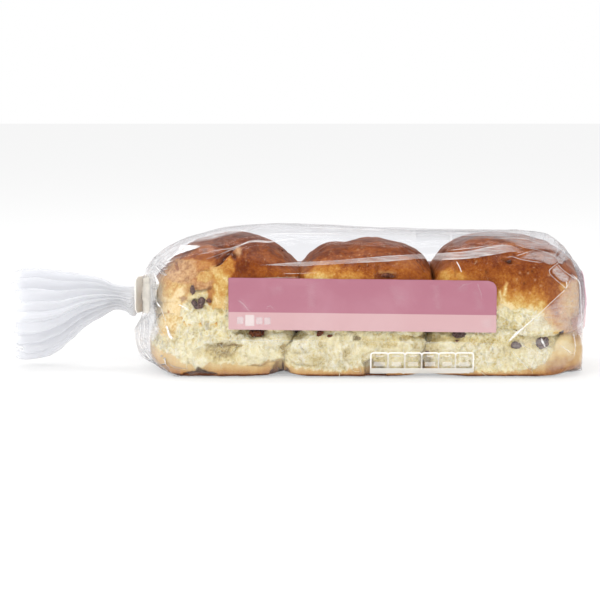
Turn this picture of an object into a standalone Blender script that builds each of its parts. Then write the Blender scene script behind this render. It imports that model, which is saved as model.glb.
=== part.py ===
"""Sealed bag of fruit buns: a clear film bag packed full, three buns long and
two layers high, lying flat, with its open end gathered into a neck, held by a
flat chamfered tag, and fanned out past it.

Row frame: +X along the bag away from the tag, +Y from the shown face to the
back, +Z up. The origin is the middle of the base. Metres.
"""

import math

import bmesh
import bpy
import numpy as np

# ------------------------------------------------------------ driving sizes
MM = 0.001

WAIST_Z = 44.0 * MM          # height at which the sides stand furthest out

TAG_X = -105.0 * MM          # where the neck's axis goes through the tag
TAG_Z = 49.1 * MM
TAG_HEIGHT = 24.4 * MM
TAG_SHOWN = 11.0 * MM         # from the hole's middle to the shown edge
TAG_HIDDEN = 16.0 * MM        # and to the hidden edge
TAG_THICK = 1.0 * MM
TAG_CHAMFER = 2.4 * MM
TAG_YAW = math.radians(24.4)  # the tag's shown edge is the one nearest the tail
TAG_MOUTH = 0.9 * MM         # slit from the tag's hole out to its hidden edge

NECK_HALF_Z = 3.3 * MM       # the gathered film where the tag grips it
NECK_HALF_Y = 2.9 * MM
NECK_Z = 47.5 * MM
GAP = 0.35 * MM              # clearance of the neck in the tag's hole

POUCH_OUT = 6.5 * MM         # slack film under the tag, at the bag's gathered end
POUCH_TOP_Z = 35.0 * MM

TAIL_TIP_X = -187.6 * MM     # mean position of the ragged end
TAIL_RAG = 4.1 * MM          # how far the ragged end wanders either way
PLEATS = 9                   # lobes of the gathered film round the tail

AROUND = 56                  # points round each section
SHEAR = math.tan(TAG_YAW)


# --------------------------------------------------------------- small tools
def hermite(x, xs, vs):
    """Monotone cubic through the stations (xs, vs), read at x."""
    xs = np.asarray(xs, float)
    vs = np.asarray(vs, float)
    step = np.diff(xs)
    slope = np.diff(vs) / step
    tangent = np.empty_like(vs)
    tangent[0], tangent[-1] = slope[0], slope[-1]
    for i in range(1, len(vs) - 1):
        a, b = slope[i - 1], slope[i]
        tangent[i] = 0.0 if a * b <= 0 else 2 * a * b / (a + b)
    i = int(np.clip(np.searchsorted(xs, x) - 1, 0, len(step) - 1))
    t = min(max((x - xs[i]) / step[i], 0.0), 1.0)
    h00 = (1 + 2 * t) * (1 - t) ** 2
    h10 = t * (1 - t) ** 2
    h01 = t * t * (3 - 2 * t)
    h11 = t * t * (t - 1)
    return float(
        h00 * vs[i] + h10 * step[i] * tangent[i] + h01 * vs[i + 1] + h11 * step[i] * tangent[i + 1]
    )


def material(name, colour, roughness, alpha=1.0):
    made = bpy.data.materials.new(name)
    made.use_nodes = True
    shader = made.node_tree.nodes["Principled BSDF"]
    shader.inputs["Base Color"].default_value = (*colour, 1.0)
    shader.inputs["Roughness"].default_value = roughness
    shader.inputs["Metallic"].default_value = 0.0
    shader.inputs["Alpha"].default_value = alpha
    made.diffuse_color = (*colour, alpha)
    return made


for old in list(bpy.data.objects):
    bpy.data.objects.remove(old, do_unlink=True)

parts = bpy.data.collections.new("sealed_bag_of_fruit_buns")
bpy.context.scene.collection.children.link(parts)

# --------------------------------------------------------- the bag's outline
# Each row is one station along the bag, measured from the tag's plane:
# distance, top, bottom, shown side, hidden side (mm), roundness above the
# waist, roundness below it (2 is an ellipse, more is boxier), pleat depth.
STATIONS = (
    (-86.0, 62.6, 7.1, -15.0, 15.0, 2.2, 2.2, 0.13),
    (-80.0, 64.7, 4.5, -16.5, 16.5, 2.2, 2.2, 0.13),
    (-71.0, 65.0, 5.3, -16.0, 16.0, 2.2, 2.2, 0.12),
    (-57.0, 63.0, 11.7, -14.5, 14.5, 2.1, 2.1, 0.12),
    (-40.0, 61.1, 26.6, -11.5, 11.5, 2.0, 2.0, 0.11),
    (-28.0, 58.5, 33.7, -9.0, 9.0, 2.0, 2.0, 0.1),
    (-18.0, 54.5, 38.7, -7.2, 7.2, 2.0, 2.0, 0.08),
    (-12.0, 54.0, 37.7, -6.6, 6.6, 2.0, 2.0, 0.08),
    (-6.0, 54.3, 33.5, -6.4, 6.4, 2.0, 2.0, 0.07),
    (-2.4, 51.6, 43.0, -3.7, 3.7, 2.0, 2.0, 0.04),
    (-0.95, 50.8, 44.2, -2.9, 2.9, 2.0, 2.0, 0.0),
    (0.95, 50.8, 44.2, -2.9, 2.9, 2.0, 2.0, 0.0),
    (2.0, 60.6, 35.4, -10.5, 10.0, 2.1, 2.1, 0.0),
    (3.0, 63.4, 22.5, -15.0, 13.5, 2.15, 2.2, 0.02),
    (4.0, 66.4, 15.5, -19.0, 16.0, 2.2, 2.3, 0.035),
    (7.0, 70.4, 5.8, -27.0, 23.0, 2.2, 2.5, 0.035),
    (11.0, 74.8, 2.0, -34.0, 30.0, 2.3, 3.1, 0.028),
    (16.0, 79.4, 0.3, -39.5, 36.0, 2.3, 4.2, 0.02),
    (21.0, 82.8, -0.6, -43.2, 40.5, 2.3, 5.4, 0.014),
    (31.0, 86.8, -1.3, -46.6, 45.2, 2.4, 7.0, 0.008),
    (42.0, 89.9, -1.5, -47.8, 47.4, 2.4, 8.5, 0.0),
    (56.0, 93.2, -1.5, -48.0, 48.0, 2.4, 9.0, 0.0),
    (87.0, 96.2, -1.5, -48.0, 48.0, 2.4, 9.0, 0.0),
    (120.0, 95.3, -1.5, -48.0, 48.0, 2.4, 9.0, 0.0),
    (152.0, 93.4, -1.5, -48.0, 48.0, 2.4, 9.0, 0.0),
    (193.0, 92.1, -1.5, -48.0, 48.0, 2.4, 9.0, 0.0),
    (240.0, 91.5, -1.5, -48.0, 48.0, 2.5, 9.0, 0.0),
    (262.0, 90.5, -1.4, -47.7, 47.7, 2.5, 8.0, 0.0),
    (271.0, 89.2, -1.2, -46.8, 46.8, 2.6, 6.5, 0.0),
    (278.0, 84.9, -0.9, -45.0, 45.0, 2.6, 5.4, 0.0),
    (284.6, 77.5, 0.0, -41.5, 41.5, 2.6, 4.4, 0.0),
    (289.4, 71.6, 2.0, -36.5, 36.5, 2.55, 3.7, 0.0),
    (292.9, 66.6, 8.0, -29.0, 29.0, 2.5, 3.2, 0.0),
    (295.1, 60.8, 19.0, -20.0, 20.0, 2.4, 2.8, 0.0),
    (296.2, 54.5, 32.0, -9.5, 9.5, 2.2, 2.4, 0.0),
)
SETS = [tuple(row[k] for row in STATIONS) for k in range(8)]
COLUMN_PITCH = 92.5 * MM     # bun to bun along the bag
COLUMN_MID_X = 43.5 * MM     # middle of the middle bun
SHOULDER_DIP = 1.6 * MM      # how far the film falls in between two domes


def outline(distance):
    return [hermite(distance, SETS[0], SETS[k]) for k in range(1, 8)]


def smooth(t):
    t = min(max(t, 0.0), 1.0)
    return t * t * (3 - 2 * t)


def lean(distance, y):
    """Shift along X that keeps a section parallel to the tag beside it.

    The shown side of the body turns away at once, so it leaves the tag's
    shown edge free; the hidden side follows the tag.
    """
    reach = 30.0 if distance > 0 else 22.0
    least = -4.5 if distance > 0 else -1000.0
    return SHEAR * max(y, least) * (1.0 - smooth(abs(distance) / reach))


def pouch(distance, z):
    """The slack film under the tag stands out past it."""
    if distance <= 0.95:
        return 0.0
    return POUCH_OUT / MM * smooth((POUCH_TOP_Z / MM - z) / 9.0) * math.exp(-(((distance - 4.0) / 6.0) ** 2))


def section(distance):
    """Points of the loop at this distance (mm) from the tag's plane, in metres."""
    top, bottom, near, far, n_up, n_down, pleat = outline(distance)
    in_body = hermite(distance, (2.0, 31.0, 42.0, 278.0, 296.2), (0.0, 0.85, 1.0, 1.0, 0.7))
    middle = (top + bottom) / 2
    waist = middle + (WAIST_Z / MM - middle) * max(in_body, 0.0)
    waist = min(max(waist, bottom + 2.0), top - 2.0)
    loop = []
    for k in range(AROUND):
        a = 2 * math.pi * k / AROUND
        c, s = math.cos(a), math.sin(a)
        n = n_up if s >= 0 else n_down
        side = far if c >= 0 else near
        y = abs(side) * math.copysign(abs(c) ** (2 / n), c)
        reach = (top - waist) if s >= 0 else (waist - bottom)
        z = waist + reach * math.copysign(abs(s) ** (2 / n), s)
        if pleat:
            fold = 1 + pleat * (
                math.cos(PLEATS * a + 0.6) + 0.35 * math.cos(2 * PLEATS * a + distance * 0.03)
            )
            y *= fold
            z = waist + (z - waist) * (1 + (fold - 1) * 0.45)
        if distance > 42.0:
            # the film falls in a little between two domes, on its shoulders
            x = TAG_X + distance * MM
            phase = (x - COLUMN_MID_X) / COLUMN_PITCH
            between = 0.5 - 0.5 * math.cos(2 * math.pi * phase)
            fade = min((distance - 42.0) / 25.0, 1.0) * min(max((285.0 - distance) / 25.0, 0.0), 1.0)
            shoulder = math.exp(-(((s - 0.72) / 0.2) ** 2))
            drop = SHOULDER_DIP / MM * between * fade * shoulder
            y -= math.copysign(drop, y)
            z -= drop * 0.6
        z = max(z, 0.0)
        x = TAG_X / MM + distance + lean(distance, y) - pouch(distance, z)
        loop.append((x * MM, y * MM, z * MM))
    return loop


distances = (
    list(np.linspace(-80.0, -6.0, 14))
    + [-2.4, -0.95, 0.95, 2.0, 3.0, 4.0, 5.5, 7.0, 9.0, 11.0, 13.5, 16.0, 18.5, 21.0, 24.0, 27.5, 31.0, 36.0, 42.0]
    + list(np.linspace(50.0, 262.0, 24))
    + [266.5, 271.0, 274.5, 278.0, 281.4, 284.6, 287.2, 289.4, 291.3, 292.9, 294.1, 295.1, 296.2]
)

cage = bmesh.new()
loops = []
for distance in distances:
    loops.append([cage.verts.new(p) for p in section(distance)])
# the ragged end: each point of the last loop runs on by its own amount
rag = []
for k, (x, y, z) in enumerate(section(-80.0)):
    a = 2 * math.pi * k / AROUND
    wander = 0.55 * math.sin(3 * a + 1.1) + 0.3 * math.sin(7 * a + 0.4) + 0.25 * math.sin(13 * a)
    rag.append(cage.verts.new((TAIL_TIP_X + TAIL_RAG * wander, y * 0.97, NECK_Z * 0.72 + (z - NECK_Z * 0.72) * 0.97)))
loops.insert(0, rag)
for first, second in zip(loops, loops[1:]):
    for k in range(AROUND):
        j = (k + 1) % AROUND
        cage.faces.new((first[k], first[j], second[j], second[k]))
for loop, sign in ((loops[0], 1), (loops[-1], -1)):
    centre = cage.verts.new(
        (
            sum(v.co.x for v in loop) / AROUND + (0.6 * MM if sign < 0 else 1.5 * MM),
            sum(v.co.y for v in loop) / AROUND,
            sum(v.co.z for v in loop) / AROUND,
        )
    )
    for k in range(AROUND):
        j = (k + 1) % AROUND
        pair = (loop[j], loop[k]) if sign > 0 else (loop[k], loop[j])
        cage.faces.new((*pair, centre))
bmesh.ops.recalc_face_normals(cage, faces=cage.faces)
bmesh.ops.triangulate(cage, faces=cage.faces)
bag_mesh = bpy.data.meshes.new("bag")
cage.to_mesh(bag_mesh)
cage.free()
bag = bpy.data.objects.new("bag", bag_mesh)
parts.objects.link(bag)
bag_mesh.shade_smooth()
bag_mesh.set_sharp_from_angle(angle=math.radians(50))
bag_mesh.materials.append(material("clear_film", (0.86, 0.87, 0.88), 0.18, 0.35))

# --------------------------------------------------------------- closure tag
# One flat outline: the chamfered plate, cut in from its hidden edge by a slit
# that opens into the oval hole the neck sits in.
shown, hidden, half_h = -TAG_SHOWN, TAG_HIDDEN, TAG_HEIGHT / 2
hole_w = NECK_HALF_Y / math.cos(TAG_YAW) + GAP
hole_h = NECK_HALF_Z + GAP
hole_z = NECK_Z - TAG_Z
c = TAG_CHAMFER
flat = [
    (hidden, hole_z + TAG_MOUTH / 2),
    (hidden, half_h - c),
    (hidden - c, half_h),
    (shown + c, half_h),
    (shown, half_h - c),
    (shown, -half_h + c),
    (shown + c, -half_h),
    (hidden - c, -half_h),
    (hidden, -half_h + c),
    (hidden, hole_z - TAG_MOUTH / 2),
]
start = math.asin(TAG_MOUTH / 2 / hole_h)
SIDES = 36
for k in range(SIDES + 1):
    a = -start - k * (2 * math.pi - 2 * start) / SIDES
    flat.append((hole_w * math.cos(a), hole_z + hole_h * math.sin(a)))

line = bpy.data.curves.new("closure_tag_outline", "CURVE")
line.dimensions = "2D"
line.fill_mode = "BOTH"
line.extrude = TAG_THICK / 2
spline = line.splines.new("POLY")
spline.points.add(len(flat) - 1)
for point, (u, v) in zip(spline.points, flat):
    point.co = (u, v, 0.0, 1.0)
spline.use_cyclic_u = True
tag = bpy.data.objects.new("closure_tag", line)
parts.objects.link(tag)
# the outline's local X runs along the tag's width, its local Y upwards
tag.rotation_euler = (math.pi / 2, 0.0, math.pi / 2 - TAG_YAW)
tag.location = (TAG_X, 0.0, TAG_Z)
line.materials.append(material("tag_plastic", (0.80, 0.73, 0.62), 0.45))

# ------------------------------------------- origin at the middle of the base
spread = np.array([v.co[:] for v in bag_mesh.vertices])
shift = -(spread.min(axis=0) + spread.max(axis=0)) / 2
for thing in (bag, tag):
    thing.location.x += float(shift[0])
    thing.location.y += float(shift[1])
bpy.context.view_layer.update()
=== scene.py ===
"""Looks of a clear sealed bag of fruit buns: the buns with their dried fruit,
the creased film round them with its print, and the tag on its neck."""

import math

import bmesh
import bpy
import numpy as np
from mathutils import Matrix, Vector
from mathutils.bvhtree import BVHTree
from mathutils.geometry import delaunay_2d_cdt


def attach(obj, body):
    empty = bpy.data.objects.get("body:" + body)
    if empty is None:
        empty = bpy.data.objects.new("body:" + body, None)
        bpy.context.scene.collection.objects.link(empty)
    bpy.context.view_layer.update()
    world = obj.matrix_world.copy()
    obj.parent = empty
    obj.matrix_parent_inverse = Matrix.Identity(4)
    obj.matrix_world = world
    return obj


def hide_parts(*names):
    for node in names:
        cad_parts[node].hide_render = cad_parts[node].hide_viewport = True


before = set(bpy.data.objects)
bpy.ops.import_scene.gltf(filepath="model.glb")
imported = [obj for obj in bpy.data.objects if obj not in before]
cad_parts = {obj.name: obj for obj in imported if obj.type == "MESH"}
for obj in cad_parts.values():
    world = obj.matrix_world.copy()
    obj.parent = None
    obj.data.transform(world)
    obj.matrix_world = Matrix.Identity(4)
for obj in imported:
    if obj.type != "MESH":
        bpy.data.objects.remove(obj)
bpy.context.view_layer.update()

MM = 0.001
np.seterr(over="ignore")

# =====================================================================
# camera geometry, used to place things where they are seen (mm)
# =====================================================================
ELEV = math.radians(8.0)
DIST = 1200.0
FOCAL_PX = 1780.0
TARGET = np.array([0.7, 0.0, 44.6])
FWD = np.array([0.0, math.cos(ELEV), -math.sin(ELEV)])
UPV = np.array([0.0, math.sin(ELEV), math.cos(ELEV)])
EYE = TARGET - DIST * FWD


def pixel_ray(px, py):
    d = FWD + np.array([1.0, 0, 0]) * (px - 300.0) / FOCAL_PX + UPV * (300.0 - py) / FOCAL_PX
    return EYE, d / np.linalg.norm(d)


def pixel_on_front(px, py, y=-47.5):
    """Where the line through a pixel meets the plane of the front face: (X, Z)."""
    o, d = pixel_ray(px, py)
    t = (y - o[1]) / d[1]
    p = o + t * d
    return float(p[0]), float(p[2])


# =====================================================================
# noise
# =====================================================================
_dirs = np.random.default_rng(11).normal(size=(256, 3))
_dirs /= np.linalg.norm(_dirs, axis=1)[:, None]


def _hash(i, j, k, seed):
    h = (i * 73856093) ^ (j * 19349663) ^ (k * 83492791) ^ (seed * 2654435761)
    h &= 0xFFFFFFFF
    h = ((h ^ (h >> 15)) * 2246822519) & 0xFFFFFFFF
    h = ((h ^ (h >> 13)) * 3266489917) & 0xFFFFFFFF
    return h ^ (h >> 16)


def perlin(p, seed=0):
    p = np.asarray(p, float)
    i = np.floor(p).astype(np.int64)
    f = p - i
    u = f * f * f * (f * (f * 6 - 15) + 10)
    out = np.zeros(len(p))
    for dx in (0, 1):
        for dy in (0, 1):
            for dz in (0, 1):
                g = _dirs[_hash(i[:, 0] + dx, i[:, 1] + dy, i[:, 2] + dz, seed) & 255]
                w = (
                    (u[:, 0] if dx else 1 - u[:, 0])
                    * (u[:, 1] if dy else 1 - u[:, 1])
                    * (u[:, 2] if dz else 1 - u[:, 2])
                )
                out += w * ((g * (f - np.array([dx, dy, dz]))).sum(axis=1))
    return out * 1.6


def fbm(p, seed=0, octaves=4, gain=0.5):
    total, amp, norm = np.zeros(len(p)), 1.0, 0.0
    p = np.asarray(p, float)
    for o in range(octaves):
        total += amp * perlin(p * (2.03**o) + 7.3 * o, seed + 17 * o)
        norm += amp
        amp *= gain
    return total / norm


def ridged(p, seed=0, octaves=3):
    total, amp, norm = np.zeros(len(p)), 1.0, 0.0
    for o in range(octaves):
        total += amp * (1 - np.abs(perlin(np.asarray(p) * (2.1**o) + 3.7 * o, seed + 31 * o)))
        norm += amp
        amp *= 0.5
    return total / norm


def worley(p, seed=0):
    """Distance to the nearest and second nearest scattered point, and the nearest one's own number in 0..1."""
    p = np.asarray(p, float)
    i = np.floor(p).astype(np.int64)
    f1 = np.full(len(p), 9.0)
    f2 = np.full(len(p), 9.0)
    own = np.zeros(len(p))
    for dx in (-1, 0, 1):
        for dy in (-1, 0, 1):
            for dz in (-1, 0, 1):
                c = i + np.array([dx, dy, dz])
                h = _hash(c[:, 0], c[:, 1], c[:, 2], seed)
                jit = np.stack([(h & 1023), ((h >> 10) & 1023), ((h >> 20) & 1023)], 1) / 1023.0
                d = np.linalg.norm(c + jit - p, axis=1)
                near = d < f1
                f2 = np.where(near, f1, np.minimum(f2, d))
                own = np.where(near, (_hash(c[:, 0], c[:, 1], c[:, 2], seed + 5) & 0xFFFF) / 65535.0, own)
                f1 = np.where(near, d, f1)
    return f1, f2, own


def sstep(lo, hi, v):
    t = np.clip((v - lo) / (hi - lo), 0, 1)
    return t * t * (3 - 2 * t)


# =====================================================================
# mesh helpers
# =====================================================================
def mesh_object(name, points_mm, faces, smooth=True, attributes=None):
    mesh = bpy.data.meshes.new(name)
    pts = np.asarray(points_mm, float) * MM
    if isinstance(faces, np.ndarray):
        n, k = faces.shape
        mesh.vertices.add(len(pts))
        mesh.vertices.foreach_set("co", pts.astype(np.float32).ravel())
        mesh.loops.add(n * k)
        mesh.loops.foreach_set("vertex_index", faces.astype(np.int32).ravel())
        mesh.polygons.add(n)
        mesh.polygons.foreach_set("loop_start", np.arange(0, n * k, k, dtype=np.int32))
        mesh.polygons.foreach_set("loop_total", np.full(n, k, dtype=np.int32))
        mesh.update(calc_edges=True)
        mesh.validate()
    else:
        mesh.from_pydata([tuple(p) for p in pts], [], [tuple(f) for f in faces])
        mesh.update()
    if smooth:
        mesh.shade_smooth()
    for key, values in (attributes or {}).items():
        layer = mesh.attributes.new(key, "FLOAT", "POINT")
        layer.data.foreach_set("value", np.asarray(values, np.float32))
    obj = bpy.data.objects.new(name, mesh)
    bpy.context.scene.collection.objects.link(obj)
    return obj


def vertex_normals(p, faces):
    n = np.zeros_like(p)
    if faces.shape[1] == 4:
        fn = np.cross(p[faces[:, 2]] - p[faces[:, 0]], p[faces[:, 3]] - p[faces[:, 1]])
    else:
        fn = np.cross(p[faces[:, 1]] - p[faces[:, 0]], p[faces[:, 2]] - p[faces[:, 0]])
    for k in range(faces.shape[1]):
        np.add.at(n, faces[:, k], fn)
    return n / np.maximum(np.linalg.norm(n, axis=1), 1e-9)[:, None]


_cubes = {}


def cube_sphere(n):
    if n in _cubes:
        return _cubes[n]
    t = np.tan(np.linspace(-1, 1, n + 1) * math.pi / 4)
    a, b = np.meshgrid(t, t, indexing="ij")
    one = np.ones_like(a)
    sides = [
        (one, a, b), (-one, b, a), (b, one, a), (a, -one, b), (a, b, one), (b, a, -one),
    ]
    pts, quads = [], []
    base = 0
    idx = np.arange((n + 1) ** 2).reshape(n + 1, n + 1)
    for s in sides:
        pts.append(np.stack([c.ravel() for c in s], 1))
        q = np.stack([idx[:-1, :-1], idx[1:, :-1], idx[1:, 1:], idx[:-1, 1:]], -1).reshape(-1, 4)
        quads.append(q + base)
        base += (n + 1) ** 2
    pts = np.concatenate(pts)
    quads = np.concatenate(quads)
    pts /= np.linalg.norm(pts, axis=1)[:, None]
    _, first, inverse = np.unique(np.round(pts, 6), axis=0, return_index=True, return_inverse=True)
    quads = inverse.reshape(-1)[quads]
    pts = pts[first]
    # outward facing
    c = np.cross(pts[quads[:, 2]] - pts[quads[:, 0]], pts[quads[:, 3]] - pts[quads[:, 1]])
    flip = (c * pts[quads[:, 0]]).sum(axis=1) < 0
    quads[flip] = quads[flip][:, ::-1]
    _cubes[n] = (pts, quads)
    return _cubes[n]


def bvh_of(objs):
    pts, polys, base = [], [], 0
    for o in objs:
        m = o.data
        co = np.empty(len(m.vertices) * 3, np.float32)
        m.vertices.foreach_get("co", co)
        pts.append(co.reshape(-1, 3) / MM)
        for p in m.polygons:
            polys.append([v + base for v in p.vertices])
        base += len(m.vertices)
    return BVHTree.FromPolygons([Vector(p) for p in np.concatenate(pts)], polys)


# =====================================================================
# materials
# =====================================================================
def srgb(r, g, b):
    out = []
    for v in (r, g, b):
        v = v / 255.0
        out.append(v / 12.92 if v <= 0.04045 else ((v + 0.055) / 1.055) ** 2.4)
    return tuple(out)


class Nodes:
    def __init__(self, name):
        self.mat = bpy.data.materials.new(name)
        self.mat.use_nodes = True
        self.tree = self.mat.node_tree
        self.tree.nodes.clear()
        self.out = self.tree.nodes.new("ShaderNodeOutputMaterial")

    def link(self, a, b):
        self.tree.links.new(a, b)

    def put(self, socket, value):
        if value is None:
            return
        if isinstance(value, bpy.types.NodeSocket):
            self.link(value, socket)
        elif isinstance(value, (tuple, list)) and len(value) == 3 and len(socket.default_value) == 4:
            socket.default_value = (*value, 1.0)
        else:
            socket.default_value = value

    def node(self, kind, **inputs):
        n = self.tree.nodes.new(kind)
        for key, value in inputs.items():
            if key.startswith("_"):
                setattr(n, key[1:], value)
        for key, value in inputs.items():
            if not key.startswith("_"):
                self.put(n.inputs[key.replace("__", " ")], value)
        return n

    def attr(self, name):
        return self.node("ShaderNodeAttribute", _attribute_name=name).outputs["Fac"]

    def coords(self):
        return self.node("ShaderNodeTexCoord").outputs["Object"]

    def mapping(self, vector, scale):
        n = self.node("ShaderNodeMapping", Vector=vector)
        n.inputs["Scale"].default_value = scale
        return n.outputs["Vector"]

    def noise(self, vector, scale, detail=3.0, rough=0.55, distortion=0.0):
        n = self.node("ShaderNodeTexNoise", Vector=vector, Scale=scale, Detail=detail, Roughness=rough, Distortion=distortion)
        return n.outputs["Fac"]

    def voronoi(self, vector, scale, feature="F1", randomness=1.0):
        n = self.node("ShaderNodeTexVoronoi", Vector=vector, Scale=scale, Randomness=randomness, _feature=feature)
        return n

    def math(self, op, a, b=None, c=None, clamp=False):
        n = self.node("ShaderNodeMath", _operation=op, _use_clamp=clamp)
        for s, v in zip(n.inputs, (a, b, c)):
            self.put(s, v)
        return n.outputs[0]

    def ramp(self, fac, stops):
        n = self.node("ShaderNodeValToRGB", Fac=fac)
        el = n.color_ramp.elements
        while len(el) < len(stops):
            el.new(0.5)
        for e, (pos, colour) in zip(el, stops):
            e.position = pos
            e.color = (*colour, 1.0) if len(colour) == 3 else colour
        return n.outputs["Color"]

    def span(self, fac, lo, hi, to_lo=0.0, to_hi=1.0, smooth=False):
        n = self.node("ShaderNodeMapRange")
        n.interpolation_type = "SMOOTHSTEP" if smooth else "LINEAR"
        n.inputs["Value"].default_value = 0.0
        self.put(n.inputs["Value"], fac)
        n.inputs["From Min"].default_value = lo
        n.inputs["From Max"].default_value = hi
        n.inputs["To Min"].default_value = to_lo
        n.inputs["To Max"].default_value = to_hi
        return n.outputs["Result"]

    def mix(self, fac, a, b, blend="MIX"):
        n = self.tree.nodes.new("ShaderNodeMix")
        n.data_type = "RGBA"
        n.blend_type = blend
        n.clamp_factor = True
        self.put(n.inputs[0], fac)
        self.put(n.inputs[6], a)
        self.put(n.inputs[7], b)
        return n.outputs[2]

    def bump(self, height, strength, distance, normal=None):
        n = self.node("ShaderNodeBump", Height=height)
        n.inputs["Strength"].default_value = strength
        n.inputs["Distance"].default_value = distance
        if normal is not None:
            self.link(normal, n.inputs["Normal"])
        return n.outputs["Normal"]

    def principled(self, **inputs):
        return self.node("ShaderNodeBsdfPrincipled", **inputs)

    def surface(self, shader):
        self.link(shader, self.out.inputs["Surface"])
        return self.mat


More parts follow.
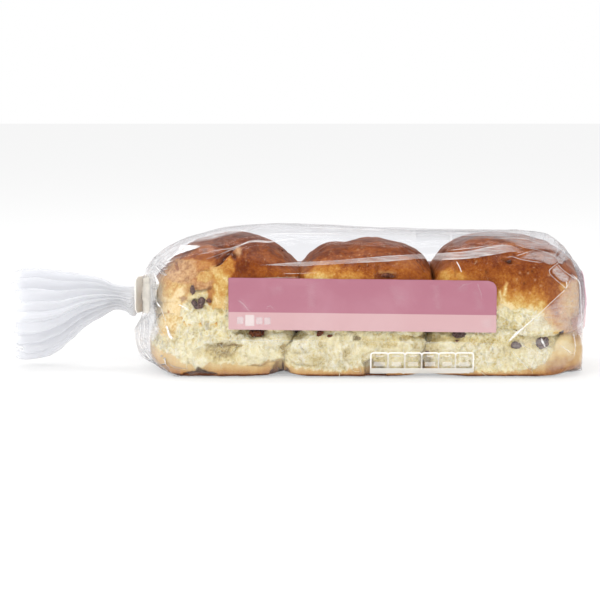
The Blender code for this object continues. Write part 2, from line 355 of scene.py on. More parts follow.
def bun_material():
    m = Nodes("baked_bun")
    xyz = m.coords()
    bake = m.attr("bake")
    torn = m.attr("torn")
    base = m.attr("base")
    pit = m.attr("pit")
    pale = m.attr("pale")
    depth = m.attr("depth")
    amber = m.attr("amber")
    # crust: pale gold at the shoulder, through amber, to chestnut on the dome
    mottle = m.noise(xyz, 190.0, 5.0, 0.66)
    broad = m.noise(xyz, 42.0, 3.0, 0.5)
    speck = m.noise(xyz, 620.0, 3.0, 0.7)
    level = m.math("ADD", bake, m.span(mottle, 0.3, 0.7, -0.16, 0.16))
    level = m.math("ADD", level, m.span(broad, 0.3, 0.7, -0.10, 0.10))
    level = m.math("ADD", level, m.span(speck, 0.3, 0.7, -0.13, 0.13), clamp=True)
    crust = m.ramp(level, [
        (0.00, srgb(234, 213, 162)),
        (0.13, srgb(217, 184, 112)),
        (0.28, srgb(202, 153, 77)),
        (0.46, srgb(187, 123, 50)),
        (0.66, srgb(157, 87, 28)),
        (0.86, srgb(134, 65, 17)),
        (1.00, srgb(106, 45, 11)),
    ])
    flesh = m.ramp(m.math("ADD", m.math("MULTIPLY", m.noise(xyz, 430.0, 4.0, 0.75), 0.6), m.math("MULTIPLY", mottle, 0.4)), [
        (0.36, srgb(134, 84, 48)),
        (0.45, srgb(176, 124, 82)),
        (0.54, srgb(202, 158, 110)),
        (0.66, srgb(224, 190, 142)),
    ])
    crust = m.mix(m.math("MULTIPLY", amber, 0.88), crust, flesh)
    # fine freckles of the blistered skin
    freckle = m.voronoi(xyz, 520.0).outputs["Distance"]
    crust = m.mix(m.span(freckle, 0.0, 0.22, 0.50, 0.0), crust, srgb(224, 160, 84))
    dark_spot = m.voronoi(xyz, 300.0).outputs["Distance"]
    crust = m.mix(m.span(dark_spot, 0.0, 0.17, 0.50, 0.0), crust, srgb(88, 38, 16))
    crust = m.mix(pale, crust, srgb(244, 214, 166))
    # crumb: cream, with paler threads, and pores darker and yellower as painted shade in the holes
    warp = m.node("ShaderNodeTexNoise", Vector=xyz, Scale=160.0, Detail=3.0, Roughness=0.6)
    bent = m.node("ShaderNodeVectorMath", _operation="MULTIPLY_ADD")
    m.link(warp.outputs["Color"], bent.inputs[0])
    bent.inputs[1].default_value = (0.0075, 0.0075, 0.0075)
    m.link(xyz, bent.inputs[2])
    wall = m.voronoi(bent.outputs[0], 310.0, "DISTANCE_TO_EDGE").outputs["Distance"]
    wall_fine = m.voronoi(bent.outputs[0], 700.0, "DISTANCE_TO_EDGE").outputs["Distance"]
    fibre = m.noise(m.mapping(bent.outputs[0], (1.0, 1.0, 0.45)), 420.0, 5.0, 0.66, 0.6)
    rough_zone = m.span(m.noise(xyz, 52.0, 3.0, 0.55), 0.36, 0.60, 0.45, 1.15, smooth=True)
    threads = m.math("ADD", m.span(wall, 0.0, 0.20, 0.16, -0.04), m.span(wall_fine, 0.0, 0.22, 0.10, -0.03))
    loose = m.math("ADD", m.math("MULTIPLY", m.math("SUBTRACT", fibre, 0.5), 0.62), threads)
    # the depth map darkens the crumb in its recesses: painted shade
    grain = m.math("ADD", 0.265, m.math("MULTIPLY", depth, 0.40))
    grain = m.math("ADD", grain, m.math("MULTIPLY", loose, rough_zone))
    crumb = m.ramp(grain, [
        (0.10, srgb(144, 116, 58)),
        (0.24, srgb(192, 166, 104)),
        (0.38, srgb(215, 195, 135)),
        (0.52, srgb(231, 217, 166)),
        (0.66, srgb(238, 229, 191)),
        (0.86, srgb(247, 242, 222)),
    ])
    pore = m.voronoi(bent.outputs[0], 340.0).outputs["Distance"]
    gather = m.span(m.noise(xyz, 95.0, 3.0, 0.6), 0.44, 0.60, 0.15, 1.0, smooth=True)
    crumb = m.mix(m.math("MULTIPLY", m.span(pore, 0.08, 0.30, 0.62, 0.0), gather), crumb, srgb(158, 132, 70))
    crumb = m.mix(m.span(m.noise(xyz, 60.0, 3.0), 0.55, 0.75, 0.0, 0.22), crumb, srgb(238, 218, 156))
    # base: smooth tan skin, browner at the very bottom
    tan = m.ramp(m.math("ADD", base, m.span(mottle, 0.3, 0.7, -0.10, 0.10), clamp=True), [
        (0.0, srgb(230, 210, 160)),
        (0.30, srgb(214, 182, 122)),
        (0.55, srgb(192, 149, 89)),
        (0.80, srgb(162, 110, 64)),
        (1.0, srgb(92, 54, 34)),
    ])
    skin = m.mix(m.attr("is_base"), crust, tan)
    colour = m.mix(torn, skin, crumb)
    # painted shade: pinholes, cracks, creases, cavities and the seams between buns darkened toward dark brown
    colour = m.mix(pit, colour, srgb(80, 36, 16))
    rough = m.math("ADD", 0.34, m.math("MULTIPLY", torn, 0.55), clamp=True)
    rough = m.math("ADD", rough, m.span(mottle, 0.3, 0.7, -0.06, 0.12), clamp=True)
    skin_height = m.math("ADD", m.math("MULTIPLY", m.noise(xyz, 900.0, 4.0, 0.6), 0.20), m.math("MULTIPLY", mottle, 0.30))
    crumb_height = m.math("ADD", m.math("MULTIPLY", fibre, m.span(rough_zone, 0.3, 1.0, 0.5, 1.0)), m.math("MULTIPLY", m.math("MULTIPLY", threads, 1.4), rough_zone))
    crumb_height = m.math("SUBTRACT", crumb_height, m.math("MULTIPLY", m.span(pore, 0.0, 0.34, 0.35, 0.0), gather))
    height = m.mix(torn, skin_height, crumb_height)
    normal = m.bump(height, 0.62, 0.0013)
    shader = m.principled(Base__Color=colour, Roughness=rough, Normal=normal)
    shader.inputs["Subsurface Weight"].default_value = 0.08
    shader.inputs["Subsurface Radius"].default_value = (0.003, 0.002, 0.001)
    shader.inputs["Subsurface Scale"].default_value = 1.0
    m.link(m.span(torn, 0.0, 1.0, 0.16, 0.05), shader.inputs["Specular IOR Level"])
    return m.surface(shader.outputs[0])


def fruit_material():
    m = Nodes("dried_fruit")
    xyz = m.coords()
    own = m.attr("kind")
    wrinkle = m.noise(xyz, 620.0, 5.0, 0.65, 0.6)
    # the pale top of each ramp, where the wrinkle noise is high, paints highlights along the raised wrinkles
    dark = m.ramp(wrinkle, [(0.28, srgb(46, 28, 24)), (0.46, srgb(80, 58, 54)), (0.60, srgb(116, 94, 90)), (0.76, srgb(172, 152, 150))])
    red = m.ramp(wrinkle, [(0.28, srgb(64, 24, 10)), (0.46, srgb(104, 48, 22)), (0.60, srgb(146, 82, 44)), (0.78, srgb(196, 138, 92))])
    colour = m.mix(own, dark, red)
    normal = m.bump(wrinkle, 0.8, 0.0009)
    shader = m.principled(Base__Color=colour, Normal=normal)
    shader.inputs["Roughness"].default_value = 0.42
    shader.inputs["Specular IOR Level"].default_value = 0.35
    return m.surface(shader.outputs[0])


def film_material(name, haze_base, haze_edge, tint=(0.922, 0.924, 0.938), haze_colour=(0.80, 0.81, 0.835), gloss=1.0, micro=0.25, tones=None, streaky=0.0, lifted=False):
    m = Nodes(name)
    xyz = m.coords()
    wave = m.noise(xyz, 60.0, 3.0, 0.55, 0.3)
    fine = m.noise(xyz, 260.0, 3.0, 0.6)
    height = m.math("ADD", wave, m.math("MULTIPLY", fine, 0.22))
    normal = m.bump(height, micro, 0.0012)
    clear = m.node("ShaderNodeBsdfTransparent")
    clear.inputs["Color"].default_value = (*tint, 1.0)
    if lifted:
        m.link(m.mix(m.attr("dull"), tint, (1.0, 1.0, 1.0)), clear.inputs["Color"])
    shine = m.node("ShaderNodeBsdfGlossy", Normal=normal)
    shine.inputs["Color"].default_value = (1.0, 1.0, 1.0, 1.0)
    shine.inputs["Roughness"].default_value = 0.11
    # the same from both sides of the film: faint face on, strong at a slant
    edge = m.node("ShaderNodeLayerWeight", Normal=normal)
    edge.inputs["Blend"].default_value = 0.5
    slant = edge.outputs["Facing"]
    amount = m.math("MULTIPLY", m.math("ADD", m.math("MULTIPLY", m.math("POWER", slant, 5.0), 0.93), 0.008), m.math("MULTIPLY", m.math("SUBTRACT", 1.0, m.attr("dull")), gloss), clamp=True)
    first = m.node("ShaderNodeMixShader")
    m.link(amount, first.inputs[0])
    m.link(clear.outputs[0], first.inputs[1])
    m.link(shine.outputs[0], first.inputs[2])
    rim = m.math("POWER", slant, 3.0)
    haze = m.attr("haze")
    if streaky:
        grain = m.noise(m.mapping(xyz, (0.16, 1.0, 1.0)), 520.0, 4.0, 0.7)
        haze = m.math("MULTIPLY", haze, m.span(grain, 0.30, 0.70, 1.0 - streaky, 1.0 + 0.6 * streaky))
    haze = m.math("ADD", haze, haze_base)
    haze = m.math("ADD", haze, m.math("MULTIPLY", rim, haze_edge))
    haze = m.math("ADD", haze, 0.0, clamp=True)
    # the haze cloud also draws the painted highlights, painted shade and grey painted reflections of the patches laid
    # on the film
    cloud = m.principled(Normal=normal)
    if tones is None:
        cloud.inputs["Base Color"].default_value = (*haze_colour, 1.0)
    else:
        m.link(m.mix(m.attr("tone"), haze_colour, tones), cloud.inputs["Base Color"])
    cloud.inputs["Roughness"].default_value = 0.3
    cloud.inputs["Specular IOR Level"].default_value = 0.5
    last = m.node("ShaderNodeMixShader")
    m.link(haze, last.inputs[0])
    m.link(first.outputs[0], last.inputs[1])
    m.link(cloud.outputs[0], last.inputs[2])
    return m.surface(last.outputs[0])


def print_material(name, colour, pale, strength=0.35, dim=0.86, alpha=1.0):
    m = Nodes(name)
    colour, pale = tuple(v * dim for v in colour), tuple(v * dim for v in pale)
    xyz = m.coords()
    cloud = m.noise(xyz, 26.0, 4.0, 0.55, 0.5)
    fine = m.noise(xyz, 300.0, 2.0, 0.5)
    # lighter patches drawn by the cloud noise: painted sheen on the print
    tone = m.mix(m.span(cloud, 0.42, 0.75, 0.0, strength, smooth=True), colour, pale)
    normal = m.bump(m.math("ADD", m.noise(xyz, 60.0, 3.0, 0.55, 0.3), m.math("MULTIPLY", fine, 0.1)), 0.25, 0.0012)
    shader = m.principled(Base__Color=tone, Normal=normal)
    shader.inputs["Roughness"].default_value = 0.32
    shader.inputs["Specular IOR Level"].default_value = 0.4
    shader.inputs["Alpha"].default_value = alpha
    return m.surface(shader.outputs[0])


def tag_material():
    m = Nodes("tag_plastic_look")
    xyz = m.coords()
    grain = m.noise(xyz, 500.0, 4.0, 0.6)
    cloud = m.noise(xyz, 90.0, 2.0)
    tone = m.ramp(m.math("ADD", m.math("MULTIPLY", grain, 0.4), m.math("MULTIPLY", cloud, 0.6)), [
        (0.3, srgb(240, 232, 217)),
        (0.7, srgb(247, 241, 229)),
    ])
    shader = m.principled(Base__Color=tone, Normal=m.bump(grain, 0.2, 0.0004))
    shader.inputs["Roughness"].default_value = 0.42
    shader.inputs["Subsurface Weight"].default_value = 0.8
    shader.inputs["Subsurface Radius"].default_value = (0.004, 0.004, 0.0036)
    shader.inputs["Subsurface Scale"].default_value = 1.0
    return m.surface(shader.outputs[0])


BUN = bun_material()
FRUIT = fruit_material()
FILM = film_material("clear_film_look", 0.0, 0.16, haze_colour=(0.84, 0.845, 0.86), lifted=True)
FILM_DOUBLE = film_material("clear_film_folded_look", 0.10, 0.25)
FILM_GATHER = film_material("clear_film_gathered_look", 0.10, 0.26, haze_colour=(0.87, 0.875, 0.89), gloss=0.4)
HAZE_AND_PAINTED_LIGHT_LOOK = film_material("film_haze_and_painted_light_look", 0.0, 0.0, tint=(1.0, 1.0, 1.0), haze_colour=(0.88, 0.875, 0.87), gloss=0.0, tones=(0.50, 0.505, 0.54), streaky=0.55)
TAG_PAINTED_LIGHT_LOOK = film_material("film_painted_tag_light_look", 0.0, 0.0, tint=(1.0, 1.0, 1.0), haze_colour=(0.64, 0.60, 0.53), gloss=0.0, tones=(0.68, 0.66, 0.64), streaky=0.10)
END_TINT_AND_SHADE_LOOK = film_material("film_end_tint_and_painted_shade_look", 0.0, 0.0, tint=(1.0, 1.0, 1.0), haze_colour=(0.50, 0.36, 0.42), gloss=0.0, tones=(0.38, 0.26, 0.24), streaky=0.10)
FOLD_RIM = film_material("film_fold_rim_look", 0.62, 0.2, haze_colour=(0.93, 0.93, 0.94))

# =====================================================================
# the buns
# =====================================================================
FRONT_Y = -46.2
BACK_Y = 46.2

# x0, x1: contact planes or ends; zb, zt: bottom of the side and top of the dome; zc: widest height;
# ql, qr, qf: how full the dome is to the left, to the right, to the front
BUNS = {
    "bun_upper_left": dict(x0=-96.5, x1=0.3, zb=26.6, zt=89.2, zc=54.0, ql=1.85, qr=2.45, qf=2.2, skin="left", seed=101, n=102,
        middle=(228, 300), border=[(140, 334), (160, 335), (168, 341), (175, 339), (177, 330), (179, 318), (182, 306), (187, 300), (193, 299), (199, 301), (205, 300), (209, 303), (212, 308), (220, 310), (228, 309), (262, 306), (300, 308)],
        gold=[(140, 306), (160, 304), (178, 300), (190, 292), (205, 290), (212, 302), (220, 314), (262, 308), (300, 308)]),
    "bun_upper_middle": dict(x0=1.1, x1=86.6, zb=26.6, zt=86.4, zc=54.0, ql=2.65, qr=2.6, qf=2.3, skin=None, seed=202, n=86,
        middle=(365, 300), border=[(300, 305), (330, 308), (365, 306), (400, 309), (430, 306)]),
    "bun_upper_right": dict(x0=87.4, x1=184.4, zb=26.6, zt=89.6, zc=54.0, ql=2.9, qr=2.15, qf=2.2, skin="right", seed=303, n=98,
        middle=(505, 300), border=[(430, 307), (470, 309), (497, 311), (505, 306), (512, 311), (524, 309), (534, 310), (541, 313), (546, 320), (553, 330), (562, 338), (566, 345), (590, 345)]),
    "bun_lower_left": dict(x0=-99.0, x1=-9.0, zb=0.3, zt=42.0, zc=14.5, ql=2.3, qr=2.4, qf=2.25, skin="left", seed=404, n=95, fill=6.0,
        middle=(216, 350), border=[(130, 322), (145, 330), (150, 343), (160, 350), (172, 356), (182, 361), (190, 365), (197, 369), (203, 366), (209, 363), (228, 364), (246, 365), (262, 363), (275, 360), (290, 357)]),
    "bun_lower_middle": dict(x0=-8.2, x1=84.0, zb=0.3, zt=42.0, zc=14.5, ql=2.4, qr=2.4, qf=2.25, skin=None, seed=505, n=90,
        middle=(357, 350), border=[(278, 358), (283, 360), (288, 364.5), (296, 367.3), (305, 368), (320, 370), (340, 372), (347, 371), (353, 368.5), (362, 366), (372, 368), (385, 371), (400, 371), (415, 371), (432, 368)]),
    "bun_lower_right": dict(x0=84.8, x1=187.2, zb=0.3, zt=42.0, zc=14.5, ql=2.4, qr=2.3, qf=2.25, skin="right", seed=606, n=88,
        middle=(506, 350), border=[(426, 365), (450, 369), (480, 371.5), (505, 372), (520, 371), (535, 368), (545, 362), (552, 354), (556, 345), (560, 336), (566, 328), (575, 318), (592, 310)]),
}
# fruit in sight: pixel, length, width, height (mm), turn in the surface (degrees), sunk (0..1), 0 dark or 1 reddish
SEEN_FRUIT = [
    ((193.0, 289.4), 7.0, 3.2, 3.0, 84, 0.36, 0.25),
    ((194.4, 303.8), 6.4, 3.3, 3.2, -56, 0.36, 0.1),
    ((201.6, 300.4), 5.2, 4.4, 3.6, 20, 0.38, 0.1),
    ((200.6, 305.4), 5.8, 4.0, 3.4, 55, 0.40, 0.25),
    ((197.4, 307.2), 4.4, 2.8, 2.8, 0, 0.42, 0.1),
    ((209.0, 300.8), 4.8, 3.0, 2.4, -50, 0.52, 0.6),
    ((155.4, 314.2), 5.8, 2.4, 2.2, -62, 0.42, 0.15),
    ((280.0, 249.5), 6.4, 4.0, 2.8, -30, 0.66, 0.9),
    ((257.0, 334.0), 8.0, 5.4, 4.6, 8, 0.50, 1.0),
    ((252.0, 333.0), 4.6, 3.6, 3.4, 30, 0.55, 0.8),
    ((262.5, 333.0), 4.0, 3.2, 3.0, 0, 0.55, 1.0),
    ((385.5, 275.0), 6.4, 3.4, 2.6, 10, 0.55, 0.75),
    ((391.5, 276.0), 4.0, 2.6, 2.2, -20, 0.55, 0.6),
    ((459.5, 334.4), 8.6, 5.2, 4.4, 6, 0.42, 0.05),
    ((514.2, 344.6), 8.8, 4.8, 3.6, -14, 0.40, 0.05),
    ((541.6, 342.8), 9.6, 8.0, 4.2, 30, 0.38, 0.05),
    ((561.6, 332.0), 3.2, 2.2, 1.8, 20, 0.55, 0.0),
    ((521.0, 335.6), 2.8, 1.2, 1.2, 10, 0.50, 0.2),
    ((516.0, 330.5), 1.8, 1.0, 1.0, 30, 0.55, 0.4),
    ((320.0, 334.0), 6.2, 4.2, 3.4, 10, 0.55, 1.0),
    ((297.0, 331.5), 5.4, 2.6, 2.6, 5, 0.55, 0.9),
    ((330.0, 336.0), 3.4, 1.8, 1.8, 5, 0.6, 0.9),
    ((509.0, 261.5), 3.4, 2.2, 2.0, 15, 0.68, 0.25),
    ((457.0, 341.0), 3.0, 1.6, 1.6, 0, 0.65, 0.3),
    ((427.5, 351.6), 3.0, 1.4, 1.4, 0, 0.6, 0.2),
]


# the domes' outlines as they are seen
CREST = {
    "bun_upper_left": [(152.5, 300), (153, 290), (155, 280), (157.5, 273), (162, 268), (167.5, 263), (173, 257), (180, 250), (188, 244), (196, 240), (205, 237), (217.5, 233.8), (228, 231.5), (237.5, 231), (248, 232), (255, 234), (264, 236.8), (270, 239.2), (278, 243.8), (286, 250.0), (292, 256.8), (297, 264.5), (300, 272), (300.5, 285), (300.5, 300)],
    "bun_upper_middle": [(299, 300), (299, 285), (298.8, 275), (300.5, 268), (304, 261), (308, 253.5), (316, 247.5), (324, 242.8), (331.7, 240.7), (338, 240.4), (346.7, 241.4), (353, 239.6), (361.7, 238), (370, 237.3), (380, 238.3), (392.5, 240), (403, 242.5), (413, 247), (421.7, 253), (426.7, 260.8), (428.7, 268), (429.5, 278), (430, 300)],
    "bun_upper_right": [(430.5, 300), (430.5, 280), (431, 266), (432.5, 260), (436, 254.5), (440, 249), (445, 244), (450, 240.8), (455, 238), (463, 235.2), (472, 233.4), (482, 231.8), (491, 231.4), (500, 231.7), (510, 232.6), (520, 233.9), (530, 235.8), (538, 238), (545, 240.8), (553, 244.6), (560, 248.9), (565, 253), (569, 257), (573, 263), (576.2, 270), (579.0, 280), (580.4, 292), (580.6, 300)],
}


# where two lower buns press on each other: height, and how far along the bag (mm)
MEET = {
    "bun_lower_left": (None, (-8.6, [(0, -9.4), (8, -10.6), (12.9, -10.4), (16.9, -9.4), (21.5, -8.7), (24.8, -5.8), (30.0, -1.9), (36.0, 1.5)])),
    "bun_lower_middle": ((-8.6, [(0, -9.4), (8, -10.6), (12.9, -10.4), (16.9, -9.4), (21.5, -8.7), (24.8, -5.8), (30.0, -1.9), (36.0, 1.5)]), (84.4, [(0, 81.4), (10, 81.8), (17.6, 82.1), (24.7, 83.4), (30.0, 85.3), (36.0, 86.8)])),
    "bun_lower_right": ((84.4, [(0, 81.4), (10, 81.8), (17.6, 82.1), (24.7, 83.4), (30.0, 85.3), (36.0, 86.8)]), None),
}


def soft_cap(v, limit, k):
    """v, flattened smoothly so that it stays under the limit."""
    over = v - (limit - k)
    return np.where(over > 0, limit - k + k * np.tanh(np.maximum(over, 0) / k), v)


def to_pixels(p):
    """Where points (mm) are seen: pixel x and y."""
    rel = p - EYE
    depth = rel @ FWD
    return 300 + FOCAL_PX * rel[:, 0] / depth, 300 - FOCAL_PX * (rel @ UPV) / depth


def superform(d, b):
    """Radius of the bun's rounded-square loaf form in direction d, from its centre."""
    cx = (b["x0"] + b["x1"]) / 2
    hx = np.where(d[:, 0] < 0, cx - b["x0"], b["x1"] - cx)
    hy = 46.2
    lower = b["zt"] < 60
    # flat sides low down, a rounder plan up the dome, and rounder at the bag's two ends
    p_side = np.where(d[:, 0] < 0, 2.5 if b["skin"] == "left" else 9.0, 3.6 if b["skin"] == "right" else 9.0)
    p = p_side + (3.1 - p_side) * sstep(-0.05, 0.62, d[:, 2]) * (p_side > 3.1)
    plan = np.maximum((np.abs(d[:, 0]) / (hx * 1.05)) ** p + (np.abs(d[:, 1]) / (hy * 1.04)) ** p, 1e-40)
    up = d[:, 2] >= 0
    w = d[:, 0] ** 2 + d[:, 1] ** 2 + 1e-9
    q_side = np.where(d[:, 0] < 0, b["ql"], b["qr"])
    full = b["qf"] + b.get("fill", 0.0) * (1 - sstep(-0.15, 0.35, d[:, 0] / np.sqrt(w))) * (d[:, 1] < 0)
    q_up = (d[:, 0] ** 2 * q_side + d[:, 1] ** 2 * full) / w
    inner = np.where(d[:, 0] < 0, b["skin"] != "left", b["skin"] != "right") * sstep(0.74, 0.93, np.abs(d[:, 0]) / np.sqrt(w))
    corner = sstep(0.35, 0.75, np.abs(d[:, 0]) / np.sqrt(w)) * (1 - sstep(0.80, 0.95, np.abs(d[:, 0]) / np.sqrt(w)))
    q_dn = (14.0 - 9.0 * corner if lower else 7.0) + inner * 5.0
    q = np.where(up, q_up, q_dn)
    hz = np.where(up, b["zt"] - b["zc"], b["zc"] - b["zb"])
    r = (plan ** (q / p) + (np.abs(d[:, 2]) / hz) ** q) ** (-1 / q)
    return r, np.array([cx, 0.0, b["zc"]])


def lower_top(x, y, b):
    """Height of the lower bun's dome under a point."""
    cx = (b["x0"] + b["x1"]) / 2
    hx = np.where(x < cx, cx - b["x0"], b["x1"] - cx)
    rho = ((np.abs(x - cx) / (hx * 1.03)) ** 4.0 + (np.abs(y) / (46.2 * 1.04)) ** 4.0) ** (1 / 4.0)
    q = 2.3 + b.get("fill", 0.0) * (1 - sstep(-12.0, 14.0, x - cx)) * sstep(20.0, 40.0, -y)
    inside = np.clip(1 - rho**q, 0, 1) ** (1 / q)
    return b["zc"] + (b["zt"] - b["zc"]) * inside


def fit_crest(p, b, crest):
    """Scales the dome about its middle so that its outline is seen along the crest line."""
    mx, my = b["middle"]
    outline = np.array(crest, float)
    ang_c = np.arctan2(my - outline[:, 1], outline[:, 0] - mx)
    rad_c = np.hypot(outline[:, 0] - mx, my - outline[:, 1])
    order = np.argsort(ang_c)
    ang_c, rad_c = ang_c[order], rad_c[order]
    bins = np.radians(np.arange(0, 181, 2.5))
    for _ in range(3):
        px, py = to_pixels(p)
        a = np.arctan2(my - py, px - mx)
        r = np.hypot(px - mx, my - py)
        seen = np.zeros(len(bins))
        for i, c in enumerate(bins):
            near = np.abs(a - c) < math.radians(2.4)
            seen[i] = r[near].max() if near.any() else 1.0
        ratio = np.interp(bins, ang_c, rad_c) / seen
        ratio = np.convolve(np.pad(ratio, 2, mode="edge"), [0.1, 0.24, 0.32, 0.24, 0.1], mode="valid")
        k = np.interp(np.clip(a, 0, math.pi), bins, ratio)
        fade = sstep(-0.30, 0.02, np.where(a < -math.pi / 2, -math.pi - a, a)) if True else 1
        k = 1 + (k - 1) * fade
        # the line of sight through the middle, at each vertex's own depth
        o, dr = pixel_ray(mx, my)
        t = (p[:, 1] - o[1]) / dr[1]
        cx, cz = o[0] + t * dr[0], o[2] + t * dr[2]
        p = p.copy()
        p[:, 0] = cx + (p[:, 0] - cx) * k
        p[:, 2] = cz + (p[:, 2] - cz) * k
    return p


def polyline_distance(p, line):
    """Distance from each point to a polyline, and how far along it (0..1)."""
    best = np.full(len(p), 1e9)
    along = np.zeros(len(p))
    line = np.asarray(line, float)
    total = np.concatenate([[0], np.cumsum(np.linalg.norm(np.diff(line, axis=0), axis=1))])
    for k in range(len(line) - 1):
        a, b = line[k], line[k + 1]
        ab = b - a
        t = np.clip(((p - a) @ ab) / (ab @ ab), 0, 1)
        d = np.linalg.norm(p - (a + t[:, None] * ab), axis=1)
        closer = d < best
        best = np.where(closer, d, best)
        along = np.where(closer, (total[k] + t * (total[k + 1] - total[k])) / total[-1], along)
    return best, along


def crumb_relief(p, seed):
    """Relief of torn crumb (mm) and its depth map: 0 in the recesses, 1 on the tufts; the crumb colour uses the depth
    map to paint shade in the recesses.
    """
    warp = np.stack([fbm(p * 0.10, seed + 1, 2), fbm(p * 0.10, seed + 2, 2), fbm(p * 0.10, seed + 3, 2)], 1)
    q = p + 5.0 * warp
    big = fbm(q * np.array([0.060, 0.060, 0.075]), seed + 41, 3)
    rib = ridged(q * np.array([0.17, 0.17, 0.085]), seed + 42, 3) - 0.70
    strand = ridged(q * np.array([0.46, 0.46, 0.17]) + 1.2 * warp, seed + 43, 3) - 0.70
    f1, f2, own = worley(q * np.array([0.30, 0.30, 0.24]), seed + 44)
    pore = np.where(own > 0.4, 1 - sstep(0.05, 0.55, f1), 0)
    g1, g2, gown = worley(q * 0.105, seed + 45)
    cave = np.where(gown > 0.68, 1 - sstep(0.12, 0.62, g1), 0)
    fine = fbm(q * np.array([0.8, 0.8, 0.4]), seed + 46, 2)
    move = 3.0 * big + 2.6 * rib + 0.8 * strand - 0.5 * pore - 1.6 * cave + 0.25 * fine
    depth = 0.66 + 0.8 * rib + 0.45 * strand - 0.22 * pore - 0.34 * cave + 0.20 * fine + 0.18 * big
    return move, np.clip(depth, 0, 1)


def make_bun(name, b):
    d, faces = cube_sphere(b["n"])
    # closer points on the shown face
    d = d + np.array([0, -0.30, 0])
    d = d / np.linalg.norm(d, axis=1)[:, None]
    seed = b["seed"]
    lower = b["zt"] < 60
    r, centre = superform(d, b)
    # slow unevenness of a hand-shaped bun
    r = r * (1 + 0.024 * fbm(d * 1.6, seed, 3) + 0.012 * fbm(d * 4.0, seed + 3, 2))
    p = centre + d * r[:, None]
    if name in CREST:
        p = fit_crest(p, b, CREST[name])
    # pressed flat against its neighbours and against the film
    p[:, 0] = soft_cap(p[:, 0], b["x1"] + 0.5, 2.5)
    p[:, 0] = -soft_cap(-p[:, 0], -b["x0"] + 0.5, 2.5)
    press = 0.5 * fbm(p * 0.05, seed + 8, 2)
    p[:, 1] = soft_cap(p[:, 1], BACK_Y - 0.3 + press, 2.6 if lower else 4.0)
    p[:, 1] = -soft_cap(-p[:, 1], -FRONT_Y - 0.3 + press, 2.6 if lower else 4.0)
    if lower:
        cx = (b["x0"] + b["x1"]) / 2
        hx = (b["x1"] - b["x0"]) / 2
        for side, meet in zip((-1, 1), MEET[name]):
            if meet:
                w = sstep(0.35, 0.97, side * (p[:, 0] - cx) / hx)
                wave = 1.1 * fbm(np.stack([np.zeros(len(p)), p[:, 1] * 0.045, p[:, 2] * 0.07], 1), int(abs(meet[0]) * 10), 2)
                to = np.interp(p[:, 2], [v[0] for v in meet[1]], [v[1] for v in meet[1]])
                p[:, 0] += (to - meet[0] + wave) * w
        p[:, 2] = -soft_cap(-p[:, 2], -0.5, 1.2)
        low = p[:, 2]
        inner = sstep(-92.0, -74.0, p[:, 0]) * (1 - sstep(158.0, 176.0, p[:, 0]))
        squared = np.where(low < 7.0, 0.5 + (low - 0.5) * (0.35 + 0.65 * sstep(0.5, 7.0, low)), low)
        p[:, 2] = low + (squared - low) * inner
    n = vertex_normals(p, faces)
    x, y, z = p.T
    px, py = to_pixels(p)
    front = sstep(0.0, 0.45, -n[:, 1])

    # ---- zones: on the shown face the tear follows what is seen, elsewhere it stays level
    ragged = 2.6 * fbm(p * np.array([0.11, 0.11, 0.02]), seed + 21, 3) + 2.6 * fbm(p * np.array([0.45, 0.45, 0.06]), seed + 22, 2)
    line = np.array(b["border"], float)
    seen_border = np.interp(px, line[:, 0], line[:, 1])
    gold = np.array(b.get("gold", b["border"]), float)
    seen_gold = np.interp(px, gold[:, 0], gold[:, 1])
    ends = np.zeros(len(p))
    if b["skin"] == "left":
        ends = 1 - sstep(-3.0, 3.0, x - (b["x0"] + 13.0 + 3 * fbm(p * 0.08, seed + 5, 2)))
    if b["skin"] == "right":
        ends = 1 - sstep(-3.0, 3.0, (b["x1"] - 13.0 + 3 * fbm(p * 0.08, seed + 5, 2)) - x)
    if lower:
        above_front = (seen_border - py) * 0.66 + 0.8 * ragged      # mm above the base skin
        above_else = z - (9.5 + 0.8 * ragged) - 40 * ends
        above = above_front * front + above_else * (1 - front)
        torn = sstep(-0.5, 0.6, above) * (1 - sstep(-1.0, 2.0, z - (34.0 + ragged)))
        torn = torn * (1 - ends * (1 - front))
        over = z - (34.0 + ragged)
        bake = 0.10 + 0.6 * sstep(0.0, 10.0, over)
        skin_tone = 1 - sstep(-9.5, 0.5, above)       # 0 next to the crumb, 1 at the base
        is_base = (1 - torn) * (1 - sstep(-2.0, 2.0, over))
        # darker in the last few mm above the table: the browner baked base, with painted contact shade where the bun
        # meets the table
        base = np.clip(0.20 + 0.30 * skin_tone + 0.32 * (1 - sstep(1.5, 9.0, z)) + 0.5 * (1 - sstep(0.9, 3.0, z)), 0, 1)
        base = np.where(ends > 0.5, np.maximum(base, 0.30), base)
    else:
        above_front = (seen_border - py) * 0.66 + ragged
        above_else = z - (46.0 + ragged) + 40 * ends
        above = above_front * front + above_else * (1 - front)
        torn = (1 - sstep(-0.6, 0.6, above))
        over = ((seen_gold - py) * 0.66 + 0.6 * ragged) * front + above_else * (1 - front)
        bake = 0.06 + 0.26 * sstep(-0.5, 6.5, over) + 0.40 * sstep(4.0, 18.0, over) + 0.19 * sstep(14.0, 34.0, over)
        is_base = 1 - sstep(b["zb"] + 1.0, b["zb"] + 4.0, z)
        base = np.full(len(p), 0.25)
    torn = np.clip(torn, 0, 1)
    crust = 1 - torn

    # ---- relief
    crumb_move, depth = crumb_relief(p, seed)
    move = torn * (crumb_move - 0.4)
    pit = np.zeros(len(p))
    pale = np.zeros(len(p))
